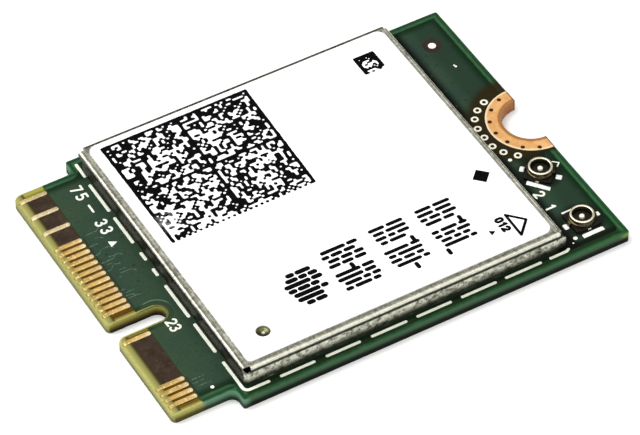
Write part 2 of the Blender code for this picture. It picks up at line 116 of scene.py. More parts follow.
class Shader:
    """A Principled material with short ways to add its nodes. Positions are in millimetres."""

    def __init__(self, name, roughness=0.5, metallic=0.0, ior=1.5, specular=0.5):
        self.material = bpy.data.materials.new(name)
        self.material.use_nodes = True
        self.tree = self.material.node_tree
        self.tree.nodes.clear()
        out = self.node("ShaderNodeOutputMaterial")
        self.bsdf = self.node("ShaderNodeBsdfPrincipled")
        self.tree.links.new(self.bsdf.outputs["BSDF"], out.inputs["Surface"])
        self.set("Roughness", roughness)
        self.set("Metallic", metallic)
        self.set("IOR", ior)
        self.set("Specular IOR Level", specular)
        coords = self.node("ShaderNodeTexCoord")
        scaled = self.node("ShaderNodeVectorMath")
        scaled.operation = "SCALE"
        self.tree.links.new(coords.outputs["Object"], scaled.inputs[0])
        scaled.inputs["Scale"].default_value = 1000.0
        self.position = scaled.outputs["Vector"]
        split = self.node("ShaderNodeSeparateXYZ")
        self.tree.links.new(self.position, split.inputs[0])
        self.x, self.y, self.z = split.outputs

    def node(self, kind):
        return self.tree.nodes.new(kind)

    def feed(self, socket, value):
        if isinstance(value, bpy.types.NodeSocket):
            self.tree.links.new(value, socket)
        else:
            socket.default_value = value

    def set(self, name, value):
        self.feed(self.bsdf.inputs[name], value)
        return self

    def math(self, operation, a, b=0.0, clamp=False):
        node = self.node("ShaderNodeMath")
        node.operation = operation
        node.use_clamp = clamp
        self.feed(node.inputs[0], a)
        self.feed(node.inputs[1], b)
        return node.outputs[0]

    def stretch(self, factors, shift=(0, 0, 0)):
        """The position with each axis scaled, for grain that runs one way."""
        node = self.node("ShaderNodeVectorMath")
        node.operation = "MULTIPLY_ADD"
        self.feed(node.inputs[0], self.position)
        node.inputs[1].default_value = factors
        node.inputs[2].default_value = shift
        return node.outputs[0]

    def noise(self, scale, detail=3.0, roughness=0.55, vector=None, distortion=0.0):
        node = self.node("ShaderNodeTexNoise")
        node.noise_dimensions = "3D"
        self.feed(node.inputs["Vector"], self.position if vector is None else vector)
        node.inputs["Scale"].default_value = scale
        node.inputs["Detail"].default_value = detail
        node.inputs["Roughness"].default_value = roughness
        node.inputs["Distortion"].default_value = distortion
        return node.outputs["Fac"]

    def step(self, value, low, high, to=(0.0, 1.0)):
        """A soft step from one value to another as the input goes from low to high."""
        node = self.node("ShaderNodeMapRange")
        node.interpolation_type = "SMOOTHSTEP"
        self.feed(node.inputs["Value"], value)
        node.inputs["From Min"].default_value = low
        node.inputs["From Max"].default_value = high
        node.inputs["To Min"].default_value = to[0]
        node.inputs["To Max"].default_value = to[1]
        return node.outputs["Result"]

    def ramp(self, value, stops):
        node = self.node("ShaderNodeValToRGB")
        items = node.color_ramp.elements
        while len(items) < len(stops):
            items.new(0.5)
        for item, (place, tint) in zip(items, stops):
            item.position = place
            item.color = colour(tint) if isinstance(tint, str) else (tint, tint, tint, 1.0)
        self.feed(node.inputs["Fac"], value)
        return node.outputs["Color"]

    def mix(self, a, b, factor, blend="MIX"):
        node = self.node("ShaderNodeMix")
        node.data_type = "RGBA"
        node.blend_type = blend
        self.feed(node.inputs[0], factor)
        self.feed(node.inputs[6], colour(a) if isinstance(a, str) else a)
        self.feed(node.inputs[7], colour(b) if isinstance(b, str) else b)
        return node.outputs[2]

    def bump(self, height, micrometres, after=None):
        node = self.node("ShaderNodeBump")
        node.inputs["Strength"].default_value = 1.0
        node.inputs["Distance"].default_value = micrometres * 1e-6
        self.feed(node.inputs["Height"], height)
        if after is not None:
            self.feed(node.inputs["Normal"], after)
        self.feed(self.bsdf.inputs["Normal"], node.outputs["Normal"])
        return node.outputs["Normal"]

    def between(self, value, low, high, soft=0.03):
        """One between two values, zero outside them, with soft ends."""
        rise = self.step(value, low - soft, low + soft)
        fall = self.step(value, high - soft, high + soft, (1.0, 0.0))
        return self.math("MULTIPLY", rise, fall)

    def absolute(self, value):
        return self.math("ABSOLUTE", value)

    def from_edge(self):
        """How far a point of the board's top is from its outer edge, in plan."""
        away = self.absolute(self.y)
        end = self.math("SUBTRACT", 15.0, self.x)
        wide = self.math("MINIMUM", self.math("SUBTRACT", 11.0, away), end)
        wide = self.math("MINIMUM", wide, self.math("ADD", self.x, 11.0))
        narrow = self.math("MINIMUM", self.math("SUBTRACT", TONGUE_Y, away), end)
        return self.math("MAXIMUM", wide, narrow)

    def radius(self, x, y):
        """The distance in plan from a point."""
        dx = self.math("SUBTRACT", self.x, x)
        dy = self.math("SUBTRACT", self.y, y)
        return self.math("SQRT", self.math("ADD", self.math("MULTIPLY", dx, dx), self.math("MULTIPLY", dy, dy)))


# ---------------------------------------------------------------- materials

def dark_zone(s, base):
    """The bare laminate round the screw land reads almost black; it fades into the green, sooner on the near side."""
    sooner = s.math("MULTIPLY", s.step(s.y, -3.0, -2.7, (0.9, 0.0)), s.step(s.x, 13.8, 14.3))
    r = s.math("ADD", s.radius(15.0, 0.0), sooner)
    ring = s.math("MULTIPLY", s.step(r, 3.5, 4.2, (1.0, 0.0)), 0.93)
    return s.mix(base, s.mix("221902", "121202", s.step(s.y, -3.0, -2.4, (1.0, 0.0))), ring)


def make_mask_pour():
    """Green solder mask over the copper pour: dark, greyish, faintly uneven."""
    s = Shader("solder_mask_over_copper", roughness=0.4, specular=0.08)
    on_top = s.step(s.z, 0.3, 0.5)
    broad = s.noise(0.32, 2.0)
    base = s.ramp(broad, [(0.3, "25382e"), (0.5, "2b3e2f"), (0.7, "2f412d")])
    fine = s.noise(7.0, 4.0, 0.6)
    base = s.mix(base, "18291d", s.step(fine, 0.5, 0.78, (0.0, 0.6)))
    bright = s.noise(5.0, 3.0, 0.6, s.stretch((1.0, 1.0, 1.0), (31.0, 7.0, 3.0)))
    base = s.mix(base, "3c5a4c", s.step(bright, 0.58, 0.8, (0.0, 0.5)))
    # the dark of the plane's own border, and painted shadow of the shield on the strip between the silkscreen and the
    # shield
    base = s.mix(base, "1d3022", s.step(s.x, 12.2, 13.2, (0.0, 0.85)))
    base = s.mix(base, "06200d", s.step(s.from_edge(), 0.52, 1.1, (0.92, 0.0)))
    # painted shadow of the shield's near wall on the strip in front of it
    near_wall_shadow = s.math("MULTIPLY", s.step(s.y, -10.3, -10.0, (1.0, 0.0)), s.step(s.x, 9.0, 12.0, (0.6, 0.95)))
    base = s.mix(base, "070f03", s.math("MULTIPLY", near_wall_shadow, on_top))
    # painted shadow of the shield on the mask beside its wall, on the sockets' side
    fence_shadow = s.math("MULTIPLY", s.step(s.x, 11.6, 12.2, (1.0, 0.0)), s.step(s.x, 10.5, 10.6))
    base = s.mix(base, "020501", s.math("MULTIPLY", fence_shadow, on_top))
    row = s.math("ADD", s.between(s.y, -1.95, 4.8), s.between(s.y, -9.6, -7.75), True)
    row = s.math("MULTIPLY", row, s.between(s.x, -13.2, -12.95, 0.06))
    base = s.mix(base, "161c08", s.math("MULTIPLY", s.math("MULTIPLY", row, on_top), 0.8))
    for x, y, _ in SOCKETS:
        base = s.mix(base, "0c120a", s.math("MULTIPLY", s.step(s.radius(x, y), 1.15, 1.6, (0.75, 0.0)), on_top))
    base = dark_zone(s, base)
    # painted highlight along the edge of the copper under the mask, round the slot's end
    rim = s.math("MULTIPLY", s.between(s.radius(KEY_END, KEY_Y), 1.03, 1.10, 0.02), s.step(s.y, KEY_Y + 0.3, KEY_Y + 0.6))
    base = s.mix(base, "6f8472", s.math("MULTIPLY", s.math("MULTIPLY", rim, on_top), 0.5))
    s.set("Base Color", base)
    s.set("Roughness", s.step(fine, 0.25, 0.75, (0.34, 0.5)))
    weave = s.noise(4.5, 2.0, 0.5)
    n = s.bump(weave, 4.0)
    s.bump(s.noise(22.0, 3.0), 1.6, n)
    return s.material


def make_mask_margin():
    """Green solder mask with no copper under it: clearer and more saturated."""
    s = Shader("solder_mask_over_laminate", roughness=0.34, specular=0.12)
    streak = s.noise(1.1, 4.0, 0.6)
    base = s.ramp(streak, [(0.25, "1a3d23"), (0.5, "23492c"), (0.75, "2e5838")])
    near_corner = s.step(s.radius(15.0, -11.0), 1.0, 9.0, (0.75, 0.0))
    base = s.mix(base, "1b5026", near_corner)
    unsteady = s.math("MULTIPLY", s.math("SUBTRACT", s.noise(2.6, 3.0, 0.6), 0.5), 0.16)
    edge = s.math("ADD", s.from_edge(), unsteady)
    from_near = s.math("ADD", s.y, 11.0)
    from_ends = s.math("MINIMUM", s.math("SUBTRACT", 15.0, s.x), s.math("ADD", s.x, 11.0))
    at_near = s.math("MULTIPLY", s.step(s.y, -10.3, -10.1, (1.0, 0.0)), s.step(s.math("SUBTRACT", from_near, from_ends), -0.25, 0.1, (1.0, 0.0)))
    others = s.math("SUBTRACT", 1.0, at_near)
    outline = s.math("MULTIPLY", s.between(edge, 0.07, 0.25, 0.05), 0.72)
    base = s.mix(base, "142f1b", s.math("MULTIPLY", outline, others))
    # painted highlight: a lighter band a little in from the board's edge
    base = s.mix(base, "375f3c", s.math("MULTIPLY", s.math("MULTIPLY", s.between(edge, 0.27, 0.42, 0.05), 0.34), others))
    base = s.mix(base, "0a2410", s.math("MULTIPLY", s.step(edge, 0.38, 0.5, (0.0, 0.88)), others))
    # painted shadow of the shield on the near margin, darker inwards
    base = s.mix(base, "10250e", s.math("MULTIPLY", s.step(edge, 0.12, 0.3, (0.0, 0.95)), at_near))
    # painted highlight along the board's outer edge
    base = s.mix(base, "4e7a55", s.step(edge, 0.0, 0.09, (0.25, 0.0)))
    base = dark_zone(s, base)
    slot = s.radius(KEY_END, KEY_Y)
    base = s.mix(base, "2e3f26", s.step(slot, 0.9, 1.3, (0.7, 0.0)))
    s.set("Base Color", base)
    n = s.bump(s.noise(3.0, 3.0), 5.0)
    s.bump(s.noise(14.0, 3.0), 1.8, n)
    return s.material


def make_laminate_top():
    """The tongue seen from above: light olive at its edges, gold-brown between the contacts, dark in the bays."""
    s = Shader("laminate_face", roughness=0.5, specular=0.07)
    cloud = s.noise(1.6, 4.0, 0.6)
    gaps = s.ramp(cloud, [(0.3, "472d02"), (0.7, "593c04")])
    bay = s.ramp(cloud, [(0.3, "291e16"), (0.5, "33281e"), (0.7, "3d3227")])
    bay = s.mix(bay, "4a3a3c", s.step(s.noise(4.0, 3.0, 0.6), 0.56, 0.74, (0.0, 0.55)))
    in_bay = s.math("ADD", s.between(s.y, -7.75, -3.75), s.between(s.y, 4.75, 9.25), True)
    base = s.mix(gaps, bay, in_bay)
    slot = s.math("SUBTRACT", s.absolute(s.math("SUBTRACT", s.y, KEY_Y)), KEY_RADIUS)
    edge = s.math("MINIMUM", s.math("SUBTRACT", TONGUE_Y, s.absolute(s.y)), slot)
    node = s.node("ShaderNodeMapRange")
    s.feed(node.inputs["Value"], edge)
    node.inputs["From Min"].default_value = 0.0
    node.inputs["From Max"].default_value = 0.42
    olive = s.ramp(node.outputs["Result"], [(0.0, "8f8850"), (0.28, "8a8048"), (0.54, "6f6428"), (0.78, "41330a"), (1.0, "3e2f06")])
    far_olive = s.ramp(node.outputs["Result"], [(0.0, "7e7c48"), (0.2, "7a7841"), (0.42, "93904a"), (0.65, "8f8b38"), (0.9, "7c7522"), (1.0, "71671c")])
    olive = s.mix(olive, "7a6418", s.math("MULTIPLY", s.step(edge, 0.30, 0.42), s.step(s.y, -9.3, -9.2, (1.0, 0.0))))
    at_far = s.step(s.y, 9.0, 9.3)
    olive = s.mix(olive, far_olive, at_far)
    base = s.mix(base, olive, s.step(s.math("SUBTRACT", edge, s.math("MULTIPLY", at_far, 0.09)), 0.34, 0.44, (1.0, 0.0)))
    # the slot's own rim is darker on its near side
    slot_rim = s.math("MULTIPLY", s.between(s.y, -3.40, -3.2), s.step(s.x, -14.6, -14.4))
    base = s.mix(base, "4c3d12", s.math("MULTIPLY", slot_rim, 0.85))
    tip = s.node("ShaderNodeMapRange")
    s.feed(tip.inputs["Value"], s.x)
    tip.inputs["From Min"].default_value = -15.0
    tip.inputs["From Max"].default_value = -14.4
    nose_tone = s.ramp(tip.outputs["Result"], [(0.0, "b2af67"), (0.167, "a19f5d"), (0.333, "8a884a"), (0.5, "817f48"), (0.667, "716d3a"), (0.833, "443e19"), (1.0, "2a2208")])
    base = s.mix(base, nose_tone, s.step(s.x, -14.5, -14.34, (1.0, 0.0)))
    # past the contacts only a thin dark green rim shows, at the mask's edge and round the slot's end
    past = s.step(s.x, -13.16, -13.06)
    base = s.mix(base, "2b331a", past)
    slot_end = s.step(s.radius(KEY_END, KEY_Y), 0.62, 0.8)
    rim = s.mix("2f3a22", "2a3922", slot_end)
    near_slot = s.step(s.radius(KEY_END, KEY_Y), 0.95, 1.0, (1.0, 0.0))
    base = s.mix(base, rim, s.math("MULTIPLY", past, near_slot))
    base = s.mix(base, "231b0a", s.step(s.radius(15.0, 0.0), 3.4, 3.6, (1.0, 0.0)))
    s.set("Base Color", base)
    weave = s.noise(6.0, 3.0, 0.6)
    n = s.bump(weave, 3.5)
    s.bump(s.noise(20.0, 3.0), 1.5, n)
    return s.material


def make_laminate_edge():
    """The cut edge of the board: olive round the tongue, green elsewhere, with painted shade darkening it towards the
    underside.
    """
    s = Shader("laminate_cut_edge", roughness=0.55, specular=0.06)
    weave = s.noise(5.0, 3.0, 0.6, s.stretch((1.0, 1.0, 3.5)))
    height = s.step(s.z, 0.0, 0.8)
    # painted shade: the nose faces the light and darkens least; the tongue's sides and the slot darken more towards the
    # floor
    nose_face = s.ramp(height, [(0.0, "565a36"), (0.06, "6b6b40"), (0.16, "72713f"), (0.41, "8f8d52"), (0.68, "a09d5f"), (1.0, "a5a162")])
    side_face = s.ramp(height, [(0.0, "47441f"), (0.25, "45421a"), (0.5, "6e6b33"), (0.8, "97934f"), (1.0, "a7a25f")])
    slot_face = s.ramp(height, [(0.0, "150f04"), (0.16, "2b2208"), (0.41, "544c19"), (0.68, "79722f"), (0.91, "9b9556"), (1.0, "97914f")])
    olive = s.mix(side_face, nose_face, s.step(s.x, -14.9, -14.8, (1.0, 0.0)))
    olive = s.mix(olive, s.mix(olive, "7c7b47", 0.5), s.step(s.y, -2.0, 0.0, (0.0, 0.6)))
    by_slot = s.math("SUBTRACT", s.absolute(s.math("SUBTRACT", s.y, KEY_Y)), KEY_RADIUS)
    on_slot = s.math("MULTIPLY", s.step(by_slot, 0.03, 0.10, (1.0, 0.0)), s.step(s.x, -14.9, -14.75))
    olive = s.mix(olive, slot_face, on_slot)
    # painted shade: the green walls darken to near black at the foot
    green = s.ramp(height, [(0.0, "040a02"), (0.22, "050d03"), (0.38, "142013"), (0.52, "26392a"), (0.7, "324c38"), (0.88, "3c583f"), (1.0, "3d593f")])
    # the tongue's root and the shoulders are a lighter, bluer green
    root = s.ramp(height, [(0.0, "263126"), (0.2, "203122"), (0.45, "445e4a"), (0.75, "557a62"), (1.0, "568466")])
    green = s.mix(green, root, s.step(s.x, -10.9, -10.4, (1.0, 0.0)))
    corner = s.step(s.radius(15.0, -11.0), 0.15, 0.8, (0.6, 0.0))
    green = s.mix(green, "7f9a3c", s.math("MULTIPLY", corner, s.step(s.z, 0.3, 0.6)))
    is_green = s.math("MULTIPLY", s.step(s.x, -13.3, -12.75), s.step(by_slot, 0.5, 0.9))
    is_green = s.math("MAXIMUM", is_green, s.step(s.x, -11.3, -11.1))
    base = s.mix(olive, green, is_green)
    end_top = s.math("MULTIPLY", s.step(s.x, -13.2, -12.7), s.step(s.z, 0.66, 0.76, (0.0, 0.85)))
    base = s.mix(base, "46522f", s.math("MULTIPLY", end_top, on_slot))
    base = s.mix(base, s.mix(base, "1b1d0d", 0.6), s.step(weave, 0.48, 0.75, (0.0, 0.55)))
    s.set("Base Color", base)
    n = s.bump(weave, 5.0)
    s.bump(s.noise(24.0, 3.0), 1.8, n)
    s.set("Roughness", s.step(weave, 0.3, 0.7, (0.48, 0.65)))
    return s.material


def make_contact_gold():
    """Gold plating on the edge contacts: brushed lengthways, brighter inwards, paler along the row."""
    s = Shader("contact_gold", roughness=0.4, metallic=0.35, specular=0.3)
    node = s.node("ShaderNodeMapRange")
    s.feed(node.inputs["Value"], s.x)
    node.inputs["From Min"].default_value = -14.9
    node.inputs["From Max"].default_value = -13.1
    tone = s.ramp(node.outputs["Result"], [(0.0, "a4994e"), (0.055, "a3944f"), (0.11, "876b30"), (0.165, "917532"), (0.23, "ab8d46"), (0.39, "c4a462"), (0.62, "c4a766"), (0.83, "cdaf77"), (0.93, "d8cca3"), (1.0, "d9d0af")])
    pale = s.step(s.y, 4.9, 6.2, (0.0, 0.75))
    base = s.mix(tone, "c2b897", pale)
    base = s.mix(base, "a89b67", s.step(s.y, 8.6, 9.0, (0.0, 0.7)))
    uneven = s.noise(1.0, 2.0, 0.5, s.stretch((0.8, 2.6, 1.0)))
    base = s.mix(base, "8f6c30", s.step(uneven, 0.48, 0.64, (0.0, 0.35)))
    grain = s.noise(1.0, 4.0, 0.65, s.stretch((2.0, 15.0, 6.0)))
    base = s.mix(base, "8f6426", s.step(grain, 0.5, 0.72, (0.0, 0.55)))
    spots = s.noise(7.0, 4.0, 0.7)
    base = s.mix(base, "ffeab0", s.step(spots, 0.55, 0.66, (0.0, 0.75)))
    pits = s.noise(8.5, 4.0, 0.7, s.stretch((1.0, 1.0, 1.0), (9.0, 3.0, 5.0)))
    base = s.mix(base, "a06c36", s.step(pits, 0.56, 0.68, (0.0, 0.65)))
    # painted shade: the plating's sides are darkened into the brown of the gaps
    lift = s.math("ADD", s.z, s.math("MULTIPLY", s.math("MAXIMUM", s.math("SUBTRACT", BEVEL_START, s.x), 0.0), BEVEL_SLOPE))
    base = s.mix(base, "4a2f06", s.math("MULTIPLY", s.step(lift, 0.784, 0.795, (0.9, 0.0)), s.step(s.z, 0.5, 0.55)))
    s.set("Base Color", base)
    s.set("Roughness", s.step(grain, 0.3, 0.75, (0.34, 0.52)))
    n = s.bump(grain, 3.0)
    s.bump(s.noise(14.0, 3.0), 2.2, n)
    return s.material


def make_land_gold():
    """The screw land's plating: warm and satin on top, copper brown inside the notch."""
    s = Shader("screw_land_plating", roughness=0.42, metallic=0.25, specular=0.3)
    cloud = s.noise(1.7, 4.0, 0.6)
    base = s.ramp(cloud, [(0.3, "c79154"), (0.5, "d49f62"), (0.72, "e0b27d")])
    grain = s.noise(9.0, 4.0, 0.65)
    base = s.mix(base, "a06a38", s.step(grain, 0.52, 0.74, (0.0, 0.5)))
    r = s.radius(15.0, 0.0)
    # painted highlight along the land's outer rim
    base = s.mix(base, "e9d3ae", s.step(r, 2.58, 2.68, (0.0, 0.8)))
    # painted shade along the land's inner rim by the notch
    base = s.mix(base, "8f5c2c", s.step(s.math("ADD", r, s.math("MULTIPLY", cloud, 0.1)), 1.97, 2.09, (0.85, 0.0)))
    wall = s.step(s.z, 0.72, 0.80, (1.0, 0.0))
    wall_tone = s.mix("8f5120", "9f6029", s.step(s.noise(2.4, 3.0), 0.35, 0.65))
    base = s.mix(base, wall_tone, wall)
    base = s.mix(base, "3f2412", s.math("MULTIPLY", s.step(s.x, 14.86, 14.97), 0.7))
    s.set("Base Color", base)
    n = s.bump(s.noise(5.0, 4.0, 0.6), 6.0)
    s.bump(s.noise(24.0, 2.0), 2.0, n)
    return s.material


def make_plain(name, stops, scale, roughness=0.5, metallic=0.0, bump=2.0, grain=18.0, specular=0.5):
    """A surface with a clouded colour, a fine grain and an uneven gloss."""
    s = Shader(name, roughness=roughness, metallic=metallic, specular=specular)
    cloud = s.noise(scale, 4.0, 0.6)
    s.set("Base Color", s.ramp(cloud, stops))
    s.set("Roughness", s.step(s.noise(grain * 0.6, 3.0), 0.3, 0.7, (max(0.05, roughness - 0.07), roughness + 0.09)))
    s.bump(s.noise(grain, 3.0), bump)
    return s.material


def sheet_metal(s):
    """Tinned steel: warm light grey with darker mottling. Gives the colour and the mottling."""
    mottle = s.noise(3.4, 4.0, 0.62)
    base = s.ramp(mottle, [(0.28, "9a9989"), (0.45, "b9b8a8"), (0.6, "d2d1c1"), (0.8, "e9e8d9")])
    spots = s.noise(8.0, 4.0, 0.65)
    base = s.mix(base, "6f6e60", s.step(spots, 0.52, 0.7, (0.0, 0.65)))
    return base, mottle


def metal_relief(s, mottle, along_x, dents):
    lines = s.noise(1.0, 3.0, 0.7, s.stretch((0.35, 22.0, 22.0) if along_x else (22.0, 0.35, 22.0)))
    n = s.bump(lines, 2.0)
    n = s.bump(s.noise(4.6, 3.0, 0.6), dents, n)
    s.bump(s.noise(18.0, 3.0), dents * 0.22, n)


def make_fence_metal():
    """The shield's fence: mottled by the soldering, with painted shade in the seam under the cover and a painted dark
    reflection at its foot.
    """
    s = Shader("shield_fence_tin", roughness=0.4, metallic=0.55, specular=0.1)
    mottle = s.noise(3.4, 4.0, 0.62)
    base = s.ramp(mottle, [(0.34, "7a7b6a"), (0.43, "bcbdab"), (0.53, "eeeedc"), (0.66, "ffffef")])
    fleck = s.noise(5.2, 4.0, 0.7)
    base = s.mix(base, "4a4b3a", s.step(fleck, 0.53, 0.64, (0.0, 0.8)))
    # painted shade under the cover's flap: a dark band, and a darker top edge
    seam = s.between(s.z, 1.66, 1.9, 0.05)
    base = s.mix(base, "22231a", s.math("MULTIPLY", seam, 0.96))
    base = s.mix(base, "5c5d4c", s.step(s.z, 1.86, 1.95, (0.0, 0.6)))
    # painted reflection: the wall darkens towards its foot, standing in for the dark board it reflects
    low_end = s.step(s.x, 10.2, 11.0, (0.0, 0.18))
    foot = s.step(s.math("SUBTRACT", s.math("ADD", s.z, s.math("MULTIPLY", fleck, 0.35)), low_end), 1.01, 1.65, (0.96, 0.0))
    base = s.mix(base, "23271a", foot)
    # painted shade: the wall that faces the contacts is darkened, standing in for the dark surroundings it reflects
    dull = s.step(s.x, -10.42, -10.36, (0.97, 0.0))
    left_wall_shade = s.mix("0b0d04", "2c3020", s.step(s.noise(2.2, 4.0, 0.65), 0.42, 0.66))
    left_wall_shade = s.mix(left_wall_shade, "060702", s.math("MULTIPLY", s.between(s.z, 1.42, 1.78, 0.08), 0.6))
    base = s.mix(base, left_wall_shade, dull)
    # beside the cover only the shoulder of the opposite wall shows, darkened with painted shade from the cover above it
    shoulder = s.math("MULTIPLY", s.step(s.x, 10.6, 10.7, (0.0, 0.9)), s.step(s.absolute(s.y), 9.8, 9.9, (1.0, 0.0)))
    base = s.mix(base, "15170e", shoulder)
    s.set("Metallic", s.step(dull, 0.0, 1.0, (0.55, 0.05)))
    s.set("Base Color", base)
    s.set("Roughness", s.step(mottle, 0.3, 0.72, (0.32, 0.5)))
    metal_relief(s, mottle, True, 14.0)
    return s.material


def make_cover_metal():
    """The shield's cover: satin rim with painted highlights and shade along its folds, painted shade on its lower edge
    and far fold, and painted shade with a painted glint in the dimple.
    """
    s = Shader("shield_cover_tin", roughness=0.26, metallic=1.0)
    base, mottle = sheet_metal(s)
    streak = s.noise(2.2, 4.0, 0.6, s.stretch((1.0, 1.0, 1.0), (5.0, 9.0, 2.0)))
    base = s.mix(base, "66665a", s.step(streak, 0.5, 0.66, (0.0, 0.6)))
    # painted shade: the cover darkens towards its lower edge
    lower = s.step(s.z, 2.04, 2.17, (0.8, 0.0))
    base = s.mix(base, "4d4e3e", lower)
    # painted highlight along the near fold
    base = s.mix(base, "fffff0", s.math("MULTIPLY", s.step(s.y, -10.22, -10.13, (0.65, 0.0)), s.step(s.z, 2.12, 2.18)))
    near_rim = s.math("MULTIPLY", s.step(s.y, -10.20, -10.12), s.step(s.y, -9.88, -9.8, (1.0, 0.0)))
    base = s.mix(base, "55564a", s.math("MULTIPLY", near_rim, 0.38))
    base = s.mix(base, "3d3e33", s.math("MULTIPLY", s.between(s.y, -9.98, -9.92, 0.02), 0.4))
    # painted shade in the valley on the left side, and painted highlight lines along the folds
    base = s.mix(base, "55564a", s.math("MULTIPLY", s.between(s.x, -10.34, -10.24, 0.03), 0.48))
    base = s.mix(base, "fbfcf0", s.math("MULTIPLY", s.between(s.x, 10.38, 10.54, 0.03), 0.35))
    base = s.mix(base, "fbfcf0", s.math("MULTIPLY", s.between(s.x, 10.66, 10.9, 0.03), 0.25))
    base = s.mix(base, "fbfcf0", s.math("MULTIPLY", s.between(s.x, -10.20, -10.12, 0.02), 0.2))
    # painted shade: the flap on the contacts' side is darkened, standing in for the dark it reflects
    left_flap_shade = s.math("MULTIPLY", s.step(s.x, -10.57, -10.50, (0.98, 0.0)), s.step(s.z, 2.18, 2.26, (1.0, 0.0)))
    base = s.mix(base, "0a0b06", left_flap_shade)
    # painted shade in a ring round the dimple, and a painted glint at its middle
    r = s.radius(DIMPLE[0], DIMPLE[1])
    ring = s.math("MULTIPLY", s.step(r, 0.07, 0.16), s.step(r, 0.40, 0.5, (1.0, 0.0)))
    base = s.mix(base, "54552f", s.math("MULTIPLY", ring, 0.92))
    base = s.mix(base, "fbfce0", s.step(r, 0.05, 0.12, (0.9, 0.0)))
    # painted shade along the far fold
    far_rim_shade = s.step(s.y, 9.96, 10.05, (0.0, 0.8))
    base = s.mix(base, "2d2d25", far_rim_shade)
    s.set("Base Color", base)
    s.set("Roughness", s.step(mottle, 0.3, 0.72, (0.2, 0.34)))
    metal_relief(s, mottle, True, 9.0)
    return s.material


def make_label_paper():
    s = Shader("label_paper", roughness=0.6, specular=0.1)
    fibre = s.noise(2.0, 5.0, 0.65)
    s.set("Base Color", s.ramp(fibre, [(0.3, "efefee"), (0.6, "f5f5f5")]))
    s.bump(s.noise(16.0, 4.0), 1.2)
    return s.material


def make_ink():
    """Printed black, thin in one worn patch of the square code."""
    s = Shader("label_ink", roughness=0.6, specular=0.03)
    cloud = s.noise(2.4, 4.0, 0.6)
    base = s.ramp(cloud, [(0.3, "030304"), (0.7, "08080a")])
    worn = s.math("MULTIPLY", s.step(s.radius(-8.75, 2.1), 0.3, 1.0, (1.0, 0.0)), s.step(cloud, 0.35, 0.6))
    base = s.mix(base, "7c7c7e", s.math("MULTIPLY", worn, 0.8))
    s.set("Base Color", base)
    s.bump(s.noise(20.0, 3.0), 0.8)
    return s.material


def make_silk():
    s = Shader("silkscreen_white", roughness=0.6, specular=0.15)
    cloud = s.noise(3.0, 4.0, 0.6)
    s.set("Base Color", s.ramp(cloud, [(0.3, "dcdfcd"), (0.6, "eceee0")]))
    s.bump(s.noise(15.0, 3.0), 2.5)
    return s.material


def make_socket_metal():
    """The sockets' turned rings: pale and bright at the lip, brassy and lined below it."""
    s = Shader("socket_ring_nickel", roughness=0.27, metallic=0.9)
    cloud = s.noise(4.5, 4.0, 0.6)
    lip = s.ramp(cloud, [(0.3, "e2d9ba"), (0.7, "fbf5df")])
    wall = s.ramp(cloud, [(0.3, "4c4228"), (0.7, "877d5c")])
    wall = s.mix(wall, "15120a", s.step(s.z, 1.06, 1.19, (0.82, 0.0)))
    bands = s.noise(1.0, 2.0, 0.5, s.stretch((0.6, 0.6, 14.0)))
    wall = s.mix(wall, "4a3f20", s.step(bands, 0.48, 0.6, (0.0, 0.7)))
    base = s.mix(wall, lip, s.step(s.z, 1.33, 1.38))
    s.set("Base Color", base)
    n = s.bump(bands, 5.0)
    s.bump(s.noise(14.0, 3.0), 2.5, n)
    return s.material


MASK_POUR = make_mask_pour()
MASK_MARGIN = make_mask_margin()
LAMINATE_TOP = make_laminate_top()
LAMINATE_EDGE = make_laminate_edge()
CONTACT_GOLD = make_contact_gold()
LAND_GOLD = make_land_gold()
FRAME_METAL = make_fence_metal()
LID_METAL = make_cover_metal()
LABEL_PAPER = make_label_paper()
LABEL_INK = make_ink()
SILK = make_silk()
VIA_TIN = make_plain("via_ring_tin", [(0.3, "d6d2c0"), (0.7, "f0ecdc")], 6.0, 0.45, 0.1, specular=0.2)
VIA_DARK = make_plain("via_hole_dark", [(0.3, "0c0a04"), (0.7, "17140a")], 8.0, 0.6, specular=0.1)
LAND_VIA_DARK = make_plain("land_via_dark", [(0.3, "2c160a"), (0.7, "3e2210")], 8.0, 0.6, specular=0.1)
FIDUCIAL_BROWN = make_plain("mask_opening_brown", [(0.3, "241813"), (0.7, "33241d")], 3.0, 0.5, specular=0.12)
FIDUCIAL_TIN = make_plain("fiducial_tin", [(0.3, "e6e4da"), (0.7, "faf9f2")], 5.0, 0.4, 0.1)
TENTED = make_plain("tented_via_green", [(0.3, "15221a"), (0.7, "1e2f22")], 4.0, 0.45, specular=0.15)
TRACE_GREEN = make_plain("track_relief_green", [(0.4, "26392b"), (0.6, "4d6754")], 7.0, 0.4, specular=0.25)
SOLDER_DULL = make_plain("solder_fillet_dull", [(0.3, "22231a"), (0.55, "3c3d31"), (0.8, "7a7a6a")], 4.0, 0.34, 0.9, 6.0, 9.0)
SOLDER_WHITE = make_plain("solder_pad_bright", [(0.3, "cfd0c4"), (0.5, "eeeee6"), (0.8, "ffffff")], 3.0, 0.4, 0.1, 4.0, 8.0)
SOCKET_METAL = make_socket_metal()
SOCKET_PLASTIC = make_plain("socket_insulator_brown", [(0.3, "0a0805"), (0.6, "15110a"), (0.8, "2a230f")], 4.0, 0.45, 0.0, 5.0, specular=0.15)
SOCKET_PIN = make_plain("socket_pin_gold", [(0.3, "efe6cc"), (0.7, "fffaf0")], 5.0, 0.4, 0.2)

# ---------------------------------------------------------------- mesh helpers


def arc(cx, cy, radius, start, end, steps=None):
    """Points along an arc, in degrees, with both ends."""
    a, b = math.radians(start), math.radians(end)
    steps = steps or max(3, round(abs(end - start) / 6))
    return [
        (cx + radius * math.cos(a + (b - a) * i / steps), cy + radius * math.sin(a + (b - a) * i / steps))
        for i in range(steps + 1)
    ]


